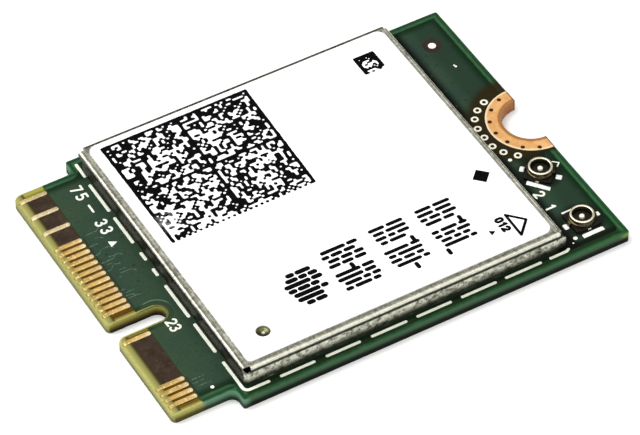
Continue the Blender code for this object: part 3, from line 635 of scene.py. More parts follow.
def rounded_rectangle(xs, ys, radius, steps=8):
    (x0, x1), (y0, y1) = xs, ys
    return (
        arc(x0 + radius, y0 + radius, radius, 180, 270, steps)
        + arc(x1 - radius, y0 + radius, radius, 270, 360, steps)
        + arc(x1 - radius, y1 - radius, radius, 0, 90, steps)
        + arc(x0 + radius, y1 - radius, radius, 90, 180, steps)
    )


def without_doubles(points, gap=1e-5):
    return [p for p, q in zip(points, points[-1:] + points[:-1]) if math.dist(p, q) > gap]


def inwards(points, distance):
    """A closed outline moved to its left, which is into the material."""
    moved = []
    for before, here, after in zip(points[-1:] + points[:-1], points, points[1:] + points[:1]):
        a = (here[0] - before[0], here[1] - before[1])
        b = (after[0] - here[0], after[1] - here[1])
        la, lb = math.hypot(*a), math.hypot(*b)
        nx = -a[1] / la - b[1] / lb
        ny = a[0] / la + b[0] / lb
        k = max(nx * nx + ny * ny, 0.5)
        moved.append((here[0] + nx * 2 * distance / k, here[1] + ny * 2 * distance / k))
    return moved


def rounded_levels(z0, z1, top, bottom=0.0, steps=3, hold=0.012):
    """(inset, height) pairs up the side of a plate with rounded rims."""
    levels = []
    if bottom:
        levels.append((bottom + hold, z0))
        for i in range(steps + 1):
            t = math.pi / 2 * i / steps
            levels.append((bottom * (1 - math.sin(t)), z0 + bottom * (1 - math.cos(t))))
    else:
        levels.append((0.0, z0))
    if top:
        for i in range(steps + 1):
            t = math.pi / 2 * i / steps
            levels.append((top * (1 - math.cos(t)), z1 - top * (1 - math.sin(t))))
        levels.append((top + hold, z1))
    else:
        levels.append((0.0, z1))
    return levels


def inside(points, loops):
    """Which of some points lie inside the loops, by the even-odd rule."""
    px, py = points[:, 0][:, None], points[:, 1][:, None]
    odd = np.zeros(len(points), bool)
    for loop in loops:
        a = np.array(loop)
        b = np.roll(a, -1, axis=0)
        ax, ay, bx, by = a[:, 0], a[:, 1], b[:, 0], b[:, 1]
        crosses = (ay > py) != (by > py)
        with np.errstate(divide="ignore", invalid="ignore"):
            at = ax + (py - ay) * (bx - ax) / (by - ay)
        odd ^= (crosses & (px < at)).sum(axis=1) % 2 == 1
    return odd


def cap(loops, extra=()):
    """Triangles that fill flat loops. Gives the points, the triangles and, for each point, its (loop, place) or None."""
    points, edges, source = [], [], []
    for number, loop in enumerate(list(loops) + list(extra)):
        start = len(points)
        for place, point in enumerate(loop):
            points.append(Vector(point))
            edges.append((start + place, start + (place + 1) % len(loop)))
            source.append((number, place) if number < len(loops) else None)
    flat, _, faces, origin, _, _ = delaunay_2d_cdt(points, edges, [], 0, 1e-7, True)
    flat = np.array([tuple(p) for p in flat])
    triangles = np.array([f for f in faces if len(f) == 3])
    keep = inside(flat[triangles].mean(axis=1), loops)
    names = []
    for ids in origin:
        found = [source[i] for i in ids if source[i] is not None]
        names.append(found[0] if found else None)
    return flat, triangles[keep], names


class Mesh:
    """Points and faces gathered before they become one object, in millimetres."""

    def __init__(self):
        self.points, self.faces, self.slots = [], [], []

    def point(self, x, y, z):
        self.points.append((x, y, z))
        return len(self.points) - 1

    def face(self, corners, slot=0):
        corners = [c for c, d in zip(corners, corners[1:] + corners[:1]) if c != d]
        if len(corners) > 2:
            self.faces.append(tuple(corners))
            self.slots.append(slot)

    def slab(self, loops, levels, creases=(), side_slot=0, face_slot=0, lift=None):
        """A plate from loops with material on their left, and (inset, height) levels up its side."""
        loops = [without_doubles(loop) for loop in loops]
        lift = lift or (lambda x, y, z: z)
        rings = []
        for inset, z in levels:
            moved = [inwards(loop, inset) if inset else loop for loop in loops]
            rings.append((moved, [[self.point(x, y, lift(x, y, z)) for x, y in loop] for loop in moved], z))
        for (_, low, _), (_, high, _) in zip(rings, rings[1:]):
            for a, b in zip(low, high):
                for i in range(len(a)):
                    j = (i + 1) % len(a)
                    self.face([a[i], a[j], b[j], b[i]], side_slot)
        for (flat_loops, ring, z), up in ((rings[0], False), (rings[-1], True)):
            flat, triangles, names = cap(flat_loops, creases)
            ids = [ring[n[0]][n[1]] if n else self.point(p[0], p[1], lift(p[0], p[1], z)) for p, n in zip(flat, names)]
            for a, b, c in triangles:
                (x1, y1), (x2, y2), (x3, y3) = flat[a], flat[b], flat[c]
                turn = (x2 - x1) * (y3 - y1) - (y2 - y1) * (x3 - x1)
                order = (a, b, c) if (turn > 0) == up else (a, c, b)
                self.face([ids[k] for k in order], face_slot)
        return self

    def lathe(self, profile, x=0.0, y=0.0, steps=40, slot=0):
        """A turned closed ring, or a solid where the profile starts and ends on the axis, its profile down the outer side."""
        on_axis = profile[0][0] == 0 and profile[-1][0] == 0
        rings = []
        for r, z in profile:
            if r == 0:
                rings.append([self.point(x, y, z)] * steps)
            else:
                rings.append(
                    [self.point(x + r * math.cos(2 * math.pi * i / steps), y + r * math.sin(2 * math.pi * i / steps), z) for i in range(steps)]
                )
        pairs = list(zip(rings, rings[1:] + ([] if on_axis else rings[:1])))
        for high, low in pairs:
            for i in range(steps):
                j = (i + 1) % steps
                self.face([low[i], low[j], high[j], high[i]], slot)
        return self

    def loft(self, sections, slot=0, closed_ends=True):
        """A tube through sections of equal count, each a closed loop of points seen anticlockwise from the far end."""
        rings = [[self.point(*p) for p in section] for section in sections]
        n = len(rings[0])
        for a, b in zip(rings, rings[1:]):
            for i in range(n):
                j = (i + 1) % n
                self.face([a[i], a[j], b[j], b[i]], slot)
        if closed_ends:
            self.face(list(reversed(rings[0])), slot)
            self.face(rings[-1], slot)
        return self

    def turned(self, matrix, start):
        """Moves the points from a start on by a matrix in millimetres."""
        for i in range(start, len(self.points)):
            self.points[i] = tuple(matrix @ Vector(self.points[i]))
        return self

    def build(self, name, materials, node=None, slot=None, smooth=35.0):
        mesh = bpy.data.meshes.new(name)
        mesh.from_pydata([(x * MM, y * MM, z * MM) for x, y, z in self.points], [], self.faces)
        for material in materials:
            mesh.materials.append(material)
        mesh.polygons.foreach_set("material_index", self.slots)
        mesh.validate(verbose=False)
        mesh.update()
        mesh.shade_smooth()
        mesh.set_sharp_from_angle(angle=math.radians(smooth))
        obj = bpy.data.objects.new(name, mesh)
        bpy.context.scene.collection.objects.link(obj)
        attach(obj, "root")
        if node:
            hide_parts(*([node] if isinstance(node, str) else node))
        return obj


# ---------------------------------------------------------------- print and silkscreen

def capsule(grid, points, width):
    """A height field over a grid, above zero inside a stroke of round ends along the points."""
    gx, gy = grid
    best = np.full(gx.shape, -1e9)
    for (ax, ay), (bx, by) in zip(points[:-1], points[1:]):
        dx, dy = bx - ax, by - ay
        t = np.clip(((gx - ax) * dx + (gy - ay) * dy) / max(dx * dx + dy * dy, 1e-12), 0, 1)
        best = np.maximum(best, width / 2 - np.hypot(gx - ax - t * dx, gy - ay - t * dy))
    return best


def polygon_field(grid, corners):
    """A height field, above zero inside a convex outline given anticlockwise."""
    gx, gy = grid
    best = np.full(gx.shape, 1e9)
    for (ax, ay), (bx, by) in zip(corners, corners[1:] + corners[:1]):
        length = math.hypot(bx - ax, by - ay)
        best = np.minimum(best, ((bx - ax) * (gy - ay) - (by - ay) * (gx - ax)) / length)
    return best


def contour(field):
    """Where a field on a grid crosses zero: points in grid units (column, row), and the edges between them."""
    sign = field > 0
    corners = sign[:-1, :-1].astype(int) + sign[:-1, 1:] + sign[1:, :-1] + sign[1:, 1:]
    points, index, edges = [], {}, []

    def crossing(a, b):
        key = (a, b) if a < b else (b, a)
        if key not in index:
            (i, j), (k, m) = key
            fa, fb = field[i, j], field[k, m]
            t = min(0.93, max(0.07, fa / (fa - fb)))
            index[key] = len(points)
            points.append((j + (m - j) * t, i + (k - i) * t))
        return index[key]

    for i, j in zip(*np.nonzero((corners > 0) & (corners < 4))):
        ring = [(i, j), (i, j + 1), (i + 1, j + 1), (i + 1, j)]
        within = [sign[p] for p in ring]
        cuts = [crossing(ring[k], ring[(k + 1) % 4]) for k in range(4) if within[k] != within[(k + 1) % 4]]
        if len(cuts) == 2:
            edges.append(tuple(cuts))
        else:
            centre = sum(field[p] for p in ring) / 4 > 0
            if centre == within[0]:
                edges += [(cuts[0], cuts[1]), (cuts[2], cuts[3])]
            else:
                edges += [(cuts[3], cuts[0]), (cuts[1], cuts[2])]
    return points, edges


def ink(mesh, field, x0, y0, step_x, step_y, z0, z1, slot=0, warp=None):
    """Flat print: the field's inside as a thin solid. The grid starts at (x0, y0)."""
    field = np.pad(field, 1, constant_values=-1.0)
    points, edges = contour(field)
    if not points:
        return
    flat, _, faces, _, _, _ = delaunay_2d_cdt([Vector(p) for p in points], edges, [], 0, 1e-6, True)
    flat = np.array([tuple(p) for p in flat])
    triangles = np.array([f for f in faces if len(f) == 3])
    mid = flat[triangles].mean(axis=1)
    column = np.clip(mid[:, 0].astype(int), 0, field.shape[1] - 2)
    row = np.clip(mid[:, 1].astype(int), 0, field.shape[0] - 2)
    u, v = mid[:, 0] - column, mid[:, 1] - row
    value = (
        field[row, column] * (1 - u) * (1 - v)
        + field[row, column + 1] * u * (1 - v)
        + field[row + 1, column] * (1 - u) * v
        + field[row + 1, column + 1] * u * v
    )
    triangles = triangles[value > 0]
    used = sorted(set(triangles.ravel().tolist()))
    place = {}
    for k in used:
        x, y = x0 + (flat[k, 0] - 1) * step_x, y0 + (flat[k, 1] - 1) * step_y
        if warp:
            x, y = warp(x, y)
        place[k] = (mesh.point(x, y, z0), mesh.point(x, y, z1))
    count = {}
    for a, b, c in triangles.tolist():
        (xa, ya), (xb, yb), (xc, yc) = flat[a], flat[b], flat[c]
        if (xb - xa) * (yc - ya) - (yb - ya) * (xc - xa) < 0:
            b, c = c, b
        mesh.face([place[a][1], place[b][1], place[c][1]], slot)
        mesh.face([place[a][0], place[c][0], place[b][0]], slot)
        for p, q in ((a, b), (b, c), (c, a)):
            count[(p, q)] = count.get((p, q), 0) + 1
    for p, q in count:
        if (q, p) not in count:
            mesh.face([place[p][0], place[q][0], place[q][1], place[p][1]], slot)


def strokes(mesh, lines, width, z, step=0.025, slot=0, more=None):
    """Strokes of one width with round ends. more adds other fields over the same grid."""
    xs = [p[0] for line in lines for p in line]
    ys = [p[1] for line in lines for p in line]
    pad = width / 2 + 4 * step
    x0, x1, y0, y1 = min(xs) - pad, max(xs) + pad, min(ys) - pad, max(ys) + pad
    gx, gy = np.meshgrid(np.arange(x0, x1 + step, step), np.arange(y0, y1 + step, step))
    field = np.max([capsule((gx, gy), line, width) for line in lines], axis=0)
    if more:
        field = np.maximum(field, more((gx, gy)))
    ink(mesh, field, x0, y0, step, step, z[0], z[1], slot)


# Plain numerals on a cell one unit high, as strokes
DIGITS = {
    "0": (0.62, [arc(0.31, 0.69, 0.27, 0, 180, 8) + arc(0.31, 0.31, 0.27, 180, 360, 8) + [(0.58, 0.69)]]),
    "1": (0.36, [[(0.06, 0.78), (0.26, 0.98), (0.26, 0.02)]]),
    "2": (0.60, [arc(0.30, 0.70, 0.26, 165, -35, 8) + [(0.05, 0.04), (0.56, 0.04)]]),
    "3": (0.58, [arc(0.28, 0.73, 0.24, 150, -80, 8), arc(0.28, 0.27, 0.26, 80, -150, 8)]),
    "5": (0.58, [[(0.52, 0.97), (0.12, 0.97), (0.09, 0.56)] + arc(0.28, 0.32, 0.28, 115, -140, 8)]),
    "6": (0.60, [arc(0.30, 0.29, 0.26, 0, 360, 12), [(0.46, 0.95), (0.22, 0.72), (0.05, 0.38)]]),
    "7": (0.56, [[(0.04, 0.97), (0.53, 0.97), (0.22, 0.02)]]),
    "9": (0.60, [arc(0.30, 0.71, 0.26, 0, 360, 12), [(0.14, 0.05), (0.38, 0.28), (0.55, 0.62)]]),
}


def numerals(text, size, x, y, spacing=0.22):
    """Strokes of a number whose foot line is at x, its top towards +X, read along -Y from y."""
    lines, along = [], 0.0
    for character in text:
        width, shapes = DIGITS[character]
        for shape in shapes:
            lines.append([(x + v * size, y - (along + u) * size) for u, v in shape])
        along += width + spacing
    return lines


# ---------------------------------------------------------------- the board

def board_outline():
    """The board seen from above, anticlockwise, with the key slot and the screw notch."""
    x0, x1 = BOARD_X
    r, k, c = SHOULDER_RADIUS, BOARD_CORNER, TONGUE_CORNER
    near = arc(x0 + c, -TONGUE_Y + c, c, 180, 270, 7) + [(BEVEL_START, -TONGUE_Y)] + arc(SHOULDER_X - r, -TONGUE_Y - r, r, 90, 0, 10)
    near += arc(SHOULDER_X + k, -BOARD_Y + k, k, 180, 270, 5)
    near += arc(x1 - k, -BOARD_Y + k, k, 270, 360, 5)
    notch = arc(x1, 0, NOTCH_RADIUS + PLATING, 270, 90, 48)
    far = [(x, -y) for x, y in reversed(near)]
    key = arc(x0 + c, KEY_Y + KEY_RADIUS + c, c, 180, 270, 7) + [(BEVEL_START, KEY_Y + KEY_RADIUS)]
    key += arc(KEY_END, KEY_Y, KEY_RADIUS, 90, -90, 24)
    key += [(BEVEL_START, KEY_Y - KEY_RADIUS)] + arc(x0 + c, KEY_Y - KEY_RADIUS - c, c, 90, 180, 7)
    return near + notch + far + key


def mask_outline(edge, inner_x, slot_radius, notch_radius):
    """The solder mask's outline: set in from the board's edge, from inner_x on, round the slot and the notch."""
    x1 = BOARD_X[1] - edge
    y1, yt = BOARD_Y - edge, TONGUE_Y - edge
    xs = SHOULDER_X + edge
    r = SHOULDER_RADIUS - edge if edge < 0.3 else 0.25
    rs = SHOULDER_RADIUS + edge if edge > 0.3 else SHOULDER_RADIUS - edge
    k = max(BOARD_CORNER, edge * 0.6)
    rs = min(rs, y1 - yt) * 0.98
    near = [(inner_x, -yt)] + arc(xs - rs, -yt - rs, rs, 90, 0, 10)
    near += arc(xs + k, -y1 + k, k, 180, 270, 6) if y1 - yt - rs > k else []
    near += arc(x1 - k, -y1 + k, k, 270, 360, 6)
    half = math.degrees(math.asin(min(1.0, edge / notch_radius)))
    notch = arc(BOARD_X[1], 0, notch_radius, 270 - half, 90 + half, 48)
    far = [(x, -y) for x, y in reversed(near)]
    slot = [(inner_x, KEY_Y + slot_radius)] + arc(KEY_END, KEY_Y, slot_radius, 90, -90, 28) + [(inner_x, KEY_Y - slot_radius)]
    return near + notch + far + slot


def softened(x, y):
    """How far the worn top rim of the tongue and of the slot is rounded down at a point."""
    if x > KEY_END:
        depth = math.hypot(x - KEY_END, y - KEY_Y) - KEY_RADIUS
        lean = (y - KEY_Y) / 0.6
    else:
        spread = 0.4 * max(0.0, x + 13.4)
        low, high = (KEY_Y + KEY_RADIUS, TONGUE_Y + spread) if y > KEY_Y else (-TONGUE_Y - spread, KEY_Y - KEY_RADIUS)
        c = TONGUE_CORNER
        end, near, far = BOARD_X[0] + c - x, low + c - y, y - high + c
        side = max(near, far)
        depth = c - math.hypot(max(end, 0.0), max(side, 0.0)) - min(max(end, side), 0.0)
        lean = (max(end, near) - far) / 0.3
    # the rims that face +Y are crisper
    radius = 0.03 + (RIM_ROUND - 0.03) * min(1.0, max(0.0, lean + 0.5))
    short = min(radius, radius - depth)
    return radius - math.sqrt(radius**2 - short**2) if short > 0 else 0.0


def nose(x, y, z):
    """Bends a flat plate's rim down along the nose bevel."""
    drop = max(0.0, (BEVEL_START - x) * BEVEL_SLOPE)
    return z - drop - softened(x, y) if z > 0.4 else z + UNDER_BEVEL * drop


def make_board():
    mesh = Mesh()
    # a line across each part of the tongue where the bevel starts
    creases = []
    for a, b in ((-TONGUE_Y, KEY_Y - KEY_RADIUS), (KEY_Y + KEY_RADIUS, TONGUE_Y)):
        a, b = a + 0.115, b - 0.115
        creases.append([(BEVEL_START, a), (BEVEL_START + 0.002, a), (BEVEL_START + 0.002, b), (BEVEL_START, b)])
    levels = rounded_levels(LAMINATE[0], LAMINATE[1], 0.014, 0.008, 2, 0.02) + [(d, LAMINATE[1]) for d in (0.055, 0.075, 0.10)]
    mesh.slab([board_outline()], levels, creases, side_slot=0, face_slot=1, lift=nose)
    return mesh.build("board_laminate", [LAMINATE_EDGE, LAMINATE_TOP], "circuit_board", "board", smooth=28)


def make_masks():
    low = mask_outline(0.008, CONTACT_INNER + 0.05, 0.79, 2.78)
    mesh = Mesh()
    mesh.slab([low], rounded_levels(LAMINATE[1] - 0.002, MASK_LOW, 0.012, 0.0, 2, 0.01))
    mesh.build("board_mask_edge_top", [MASK_MARGIN], None, "board", smooth=28)
    high = mask_outline(0.50, CONTACT_INNER + 0.09, 1.03, 2.80)
    mesh = Mesh()
    levels = [(-0.03, MASK_LOW - 0.004), (-0.022, MASK_LOW), (0.0, 0.793), (0.012, 0.7985), (0.03, BOARD_TOP), (0.05, BOARD_TOP)]
    mesh.slab([high], levels)
    mesh.build("board_mask_copper_top", [MASK_POUR], None, "board", smooth=28)
    under = mask_outline(0.004, CONTACT_INNER + 0.05, 0.79, 2.78)
    mesh = Mesh()
    mesh.slab([under], [(0.02, 0.003), (0.004, 0.004), (0.0, 0.007), (0.0, LAMINATE[0] + 0.003)])
    mesh.build("board_mask_edge_under", [MASK_MARGIN], None, "board", smooth=28)
    under = mask_outline(0.50, CONTACT_INNER + 0.09, 1.03, 2.80)
    mesh = Mesh()
    mesh.slab([under], [(0.05, 0.0), (0.03, 0.0), (0.012, 0.0005), (0.0, 0.0015), (-0.022, 0.003), (-0.03, 0.006)])
    mesh.build("board_mask_copper_under", [MASK_POUR], None, "board", smooth=28)


def contact_sections(y, top):
    """Sections of one contact: flat on the board, down the nose bevel, round at the inner end."""
    half, corner, rim = 0.160, 0.125, 0.018
    stations = [(CONTACT_TIP, half - 0.05), (CONTACT_TIP + 0.03, half - 0.012), (CONTACT_TIP + 0.08, half)]
    stations += [(x, half) for x in (-14.75, BEVEL_START - 0.02, BEVEL_START + 0.02, -14.2, -13.8, -13.4, CONTACT_INNER - corner)]
    for i in range(1, 6):
        t = math.pi / 2 * i / 5.6
        stations.append((CONTACT_INNER - corner + corner * math.sin(t), half - corner * (1 - math.cos(t))))
    sections = []
    for x, w in stations:
        drop = max(0.0, (BEVEL_START - x) * BEVEL_SLOPE) * (1.0 if top else UNDER_BEVEL)
        high, low = BOARD_TOP - drop, LAMINATE[1] - 0.004 - drop
        end = min(1.0, (x - CONTACT_TIP) / 0.06) if x < -14.8 else 1.0
        high = low + (high - low) * (0.35 + 0.65 * end)
        points = [(x, y - w, low), (x, y + w, low), (x, y + w, high - rim), (x, y + w - 0.3 * rim, high - 0.3 * rim),
                  (x, y + w - rim, high), (x, y - w + rim, high), (x, y - w + 0.3 * rim, high - 0.3 * rim), (x, y - w, high - rim)]
        if not top:
            points = [(px, py, BOARD_TOP - pz) for px, py, pz in reversed(points)]
        sections.append(points)
    return sections


def make_contacts():
    for name, numbers, first_y, first, top in (
        ("contacts_top", TOP_CONTACTS, FIRST_TOP_Y, 1, True),
        ("contacts_under", UNDER_CONTACTS, FIRST_UNDER_Y, 2, False),
    ):
        mesh = Mesh()
        for n in numbers:
            y = first_y + (n - first) / 4
            mesh.loft(contact_sections(y + min(0.06, 0.024 + 0.0055 * y), top))
        mesh.build(name, [CONTACT_GOLD], None, "board", smooth=30)


def make_land():
    """Plating round the screw notch: down its wall, and a land above and below."""
    inner, outer, rim = NOTCH_RADIUS, LAND_OUTER, 0.03
    profile = [
        (outer, 0.768), (outer, LAND_TOP - 0.014), (outer - 0.006, LAND_TOP - 0.004), (outer - 0.02, LAND_TOP),
        (outer - 0.05, LAND_TOP), (inner + rim + 0.03, LAND_TOP), (inner + rim, LAND_TOP), (inner + 0.3 * rim, LAND_TOP - 0.3 * rim),
        (inner, LAND_TOP - rim), (inner, LAND_TOP - rim - 0.04), (inner, 0.06), (inner, 0.03), (inner + 0.01, 0.01), (inner + 0.035, 0.0),
        (inner + 0.07, 0.0), (outer - 0.03, 0.0), (outer, 0.006), (outer, 0.032), (inner + PLATING + 0.02, 0.032),
        (inner + PLATING + 0.02, 0.1), (inner + PLATING + 0.02, 0.7), (inner + PLATING + 0.02, 0.768),
    ]
    sections = []
    steps = 72
    for i in range(steps + 1):
        a = math.radians(90 + 180 * i / steps)
        sections.append([(15.0 + r * math.cos(a), r * math.sin(a), z) for r, z in profile])
    mesh = Mesh()
    mesh.loft(sections)
    mesh.build("screw_land_plating", [LAND_GOLD], None, "board", smooth=40)
    places = [(14.20, 2.30), (13.33, 1.79), (12.71, 0.96), (12.52, -0.04), (12.73, -1.03), (13.29, -1.88), (14.17, -2.39)]
    # dark discs over the land's vias: painted shade for the holes
    mesh = Mesh()
    for x, y in places:
        mesh.lathe([(0, 0.8235), (0.05, 0.8235), (0.12, 0.8225), (0.14, 0.8205), (0.143, 0.815), (0, 0.815)], x, y, 20)
    mesh.build("screw_land_via_holes", [LAND_VIA_DARK], None, "board")


def make_vias():
    """Open vias round the land, each with a bright ring, and small tented ones in the pour."""
    places = [(13.32, 2.60), (12.60, 2.20), (12.06, 1.62), (11.79, 0.84), (11.74, 0.0), (11.77, -0.88), (12.08, -1.64), (12.68, -2.31)]
    rings, holes = Mesh(), Mesh()
    for x, y in places:
        rings.lathe(
            [(0.18, 0.818), (0.225, 0.813), (0.250, 0.800), (0.252, 0.782), (0.118, 0.782), (0.122, 0.806), (0.145, 0.816)],
            x, y, 28,
        )
        # each hole is a shallow dark disc: painted shade for the hole's depth
        holes.lathe([(0, 0.792), (0.10, 0.793), (0.125, 0.799), (0.125, 0.782), (0, 0.782)], x, y, 20)
    rings.build("via_rings", [VIA_TIN], None, "board", smooth=60)
    holes.build("via_holes", [VIA_DARK], None, "board")
    dice = random.Random(41)
    spots = Mesh()
    chosen = []
    tries = 0
    while len(chosen) < 46 and tries < 4000:
        tries += 1
        x, y = dice.uniform(11.2, 14.3), dice.uniform(-10.2, 10.2)
        if dice.random() < 0.25:
            x, y = dice.uniform(-12.9, -11.3), dice.uniform(-1.0, 3.2)
        clear = all(math.dist((x, y), c) > 0.55 for c in chosen)
        clear = clear and math.dist((x, y), (15, 0)) > 3.75 and math.dist((x, y), (13.18, 8.47)) > 0.95
        clear = clear and all(math.dist((x, y), (sx, sy)) > 1.55 for sx, sy, _ in SOCKETS) and not (-7.4 < y < -5.3 and x < 12.5)
        if clear:
            chosen.append((x, y))
    for x, y in chosen:
        r = dice.uniform(0.055, 0.085)
        spots.lathe([(0, 0.8005), (r * 0.55, 0.8012), (r * 0.85, 0.8030), (r, 0.8025), (r * 1.2, 0.8), (r * 1.2, 0.795), (0, 0.795)], x, y, 16)
    spots.build("tented_vias", [TENTED], None, "board", smooth=60)


def make_traces():
    """Faint relief of the tracks under the mask beside the contacts."""
    dice = random.Random(7)
    mesh = Mesh()
    for row in range(26):
        y = -1.25 + row * 0.25 + dice.uniform(-0.03, 0.03)
        if dice.random() < 0.35:
            continue
        start = -13.0 + dice.choice([0.0, 0.0, 0.25, 0.6])
        end = start + dice.uniform(0.2, 0.95)
        step = dice.choice([0, 0, 0.25, -0.25])
        line = [(start, y), (end, y)] + ([(end + abs(step), y + step)] if step else [])
        ridge(mesh, line, 0.075, 0.799, 0.8055)
    for x, y, length in ((-12.9, -8.15, 0.9), (-12.9, -8.45, 0.7), (-12.8, -8.75, 0.9)):
        ridge(mesh, [(x, y), (x + length, y)], 0.075, 0.799, 0.8055)
    mesh.build("track_relief", [TRACE_GREEN], None, "board", smooth=60)


def ridge(mesh, line, width, low, high):
    """A low rounded ridge along a line, as a track raises the mask over it."""
    shape = [(-1.0, 0.0), (-0.75, 0.55), (-0.4, 0.92), (0.0, 1.0), (0.4, 0.92), (0.75, 0.55), (1.0, 0.0)]
    sections = []
    for i, (x, y) in enumerate(line):
        ax, ay = line[max(0, i - 1)]
        bx, by = line[min(len(line) - 1, i + 1)]
        dx, dy = bx - ax, by - ay
        length = math.hypot(dx, dy)
        nx, ny = -dy / length, dx / length
        sections.append([(x + nx * width / 2 * s, y + ny * width / 2 * s, low + (high - low) * h) for s, h in reversed(shape)])
    mesh.loft(sections)


def make_silkscreen():
    mesh = Mesh()
    left = [(10.42, 9.32), (8.47, 6.08), (5.32, 3.08), (2.03, 1.48), (0.52, 0.03), (-1.03, -3.77), (-4.53, -6.92)]
    for number, (a, b) in enumerate(left):
        x = -10.62 if number else -10.53
        strokes(mesh, [[(x, a), (x, b)]], 0.20, SILK_Z)
    corner = [(-10.62, -7.93)] + [(-10.62, -10.05)] + arc(-10.30, -10.14, 0.32, 180, 270, 6) + [(-9.1, -10.47)]
    strokes(mesh, [corner], 0.19, SILK_Z)
    bottom = [(-8.27, -6.13), (-5.27, -3.13), (-2.27, -0.03), (0.78, 2.97), (3.78, 6.02), (6.78, 9.12)]
    for a, b in bottom:
        strokes(mesh, [[(a, -10.48), (b, -10.48)]], 0.18, SILK_Z)
    strokes(mesh, [[(9.83, -10.48), (10.95, -10.47), (11.12, -10.38)]], 0.18, SILK_Z)
    # plain contact numbers along the tongue, and the number by the slot
    for text, y in (("75", 8.80), ("33", 5.62)):
        strokes(mesh, numerals(text, 0.70, -11.82, y, 0.42), 0.13, SILK_Z)
    strokes(mesh, [[(-11.45, 7.05), (-11.45, 6.45)]], 0.13, SILK_Z)
    strokes(mesh, numerals("23", 0.66, -12.02, -3.48, 0.16), 0.12, SILK_Z)
    filled(mesh, [(-11.86, 3.86), (-11.86, 3.36), (-11.38, 3.58)])
    disc(mesh, -12.06, -9.22, 0.11)
    # by the antenna sockets
    strokes(mesh, numerals("2", 0.66, 11.70, -5.55), 0.13, SILK_Z)
    strokes(mesh, numerals("1", 0.62, 11.72, -6.86), 0.13, SILK_Z)
    for x, y, r in ((11.94, -9.85, 0.13), (11.62, -10.12, 0.048), (12.06, -2.41, 0.12)):
        disc(mesh, x, y, r)
    strokes(mesh, [[(14.16, -3.80), (14.47, -4.07), (14.20, -4.30)]], 0.075, SILK_Z)
    strokes(mesh, [[(12.36, -7.74), (13.0, -7.74)], [(12.40, -7.72), (12.46, -7.88)]], 0.11, SILK_Z)
    mesh.build("silkscreen", [SILK], None, "board", smooth=30)


def disc(mesh, x, y, r):
    strokes(mesh, [[(x - 0.004, y), (x + 0.004, y)]], 2 * r, SILK_Z, 0.02)


def filled(mesh, corners, step=0.02, z=SILK_Z):
    """A filled convex outline, flat on the board or the label."""
    xs, ys = [p[0] for p in corners], [p[1] for p in corners]
    gx, gy = np.meshgrid(np.arange(min(xs) - 0.1, max(xs) + 0.1, step), np.arange(min(ys) - 0.1, max(ys) + 0.1, step))
    (ax, ay), (bx, by), (cx, cy) = corners[:3]
    turn = (bx - ax) * (cy - ay) - (by - ay) * (cx - ax)
    ordered = corners if turn > 0 else list(reversed(corners))
    ink(mesh, polygon_field((gx, gy), ordered), gx[0, 0], gy[0, 0], step, step, z[0], z[1])


def make_board_marks():
    """The fiducial in its mask opening, and a fleck of tin beside it."""
    mesh = Mesh()
    mesh.lathe([(0, 0.8030), (0.52, 0.8030), (0.60, 0.8018), (0.62, 0.798), (0, 0.798)], 13.18, 8.47, 48)
    mesh.build("fiducial_opening", [FIDUCIAL_BROWN], None, "board", smooth=60)
    mesh = Mesh()
    mesh.lathe([(0, 0.818), (0.17, 0.817), (0.23, 0.812), (0.25, 0.802), (0.25, 0.798), (0, 0.798)], 13.18, 8.47, 32)
    mesh.lathe([(0, 0.812), (0.05, 0.811), (0.08, 0.804), (0.085, 0.796), (0, 0.796)], 13.49, 6.16, 14)
    mesh.lathe([(0, 0.810), (0.04, 0.809), (0.06, 0.803), (0.065, 0.796), (0, 0.796)], 13.45, 6.30, 14)
    mesh.build("fiducial_tin", [FIDUCIAL_TIN], None, "board", smooth=60)


# ---------------------------------------------------------------- the shield

def wave(x, y, amount, seed):
    """A slow, shallow waviness, as pressed sheet has."""
    a = math.sin(x * 0.83 + seed) * math.sin(y * 0.61 + 1.7 * seed)
    b = math.sin(x * 2.3 + 2.1 * seed) * math.cos(y * 1.9 + seed)
    return amount * (0.65 * a + 0.35 * b)


def lines_between(start, end, spacing, extra=()):
    count = max(1, round((end - start) / spacing))
    found = [start + (end - start) * i / count for i in range(count + 1)]
    found = [v for v in found if all(abs(v - e) > spacing * 0.35 for e in extra) or v in (start, end)]
    return sorted(found + list(extra))


def folded(span, reliefs, bend, drop, extra):
    """Stations across a folded tray: (place, height below the top, whether it is in a flap)."""
    a, b = span
    low, high = reliefs

    def flap(relief):
        out = [(0.0, drop), (0.0, drop * 0.5 + bend * 0.5)]
        for i in range(8):
            t = math.pi / 2 * i / 7
            out.append((bend * (1 - math.cos(t)), bend * (1 - math.sin(t))))
        return out + [(d, 0.0) for d in PRESSED if bend < d < relief - 0.008]

    fine = [a + d for d in PRESSED if d > low + 0.008] + [b - d for d in PRESSED if d > high + 0.008] + extra
    flat = [a + low] + lines_between(a + low, b - high, 0.9, fine)[1:-1] + [b - high]
    first = [(a + d, h, True) for d, h in flap(low)]
    last = [(b - d, h, True) for d, h in reversed(flap(high))]
    return first + [(v, 0.0, False) for v in flat] + last


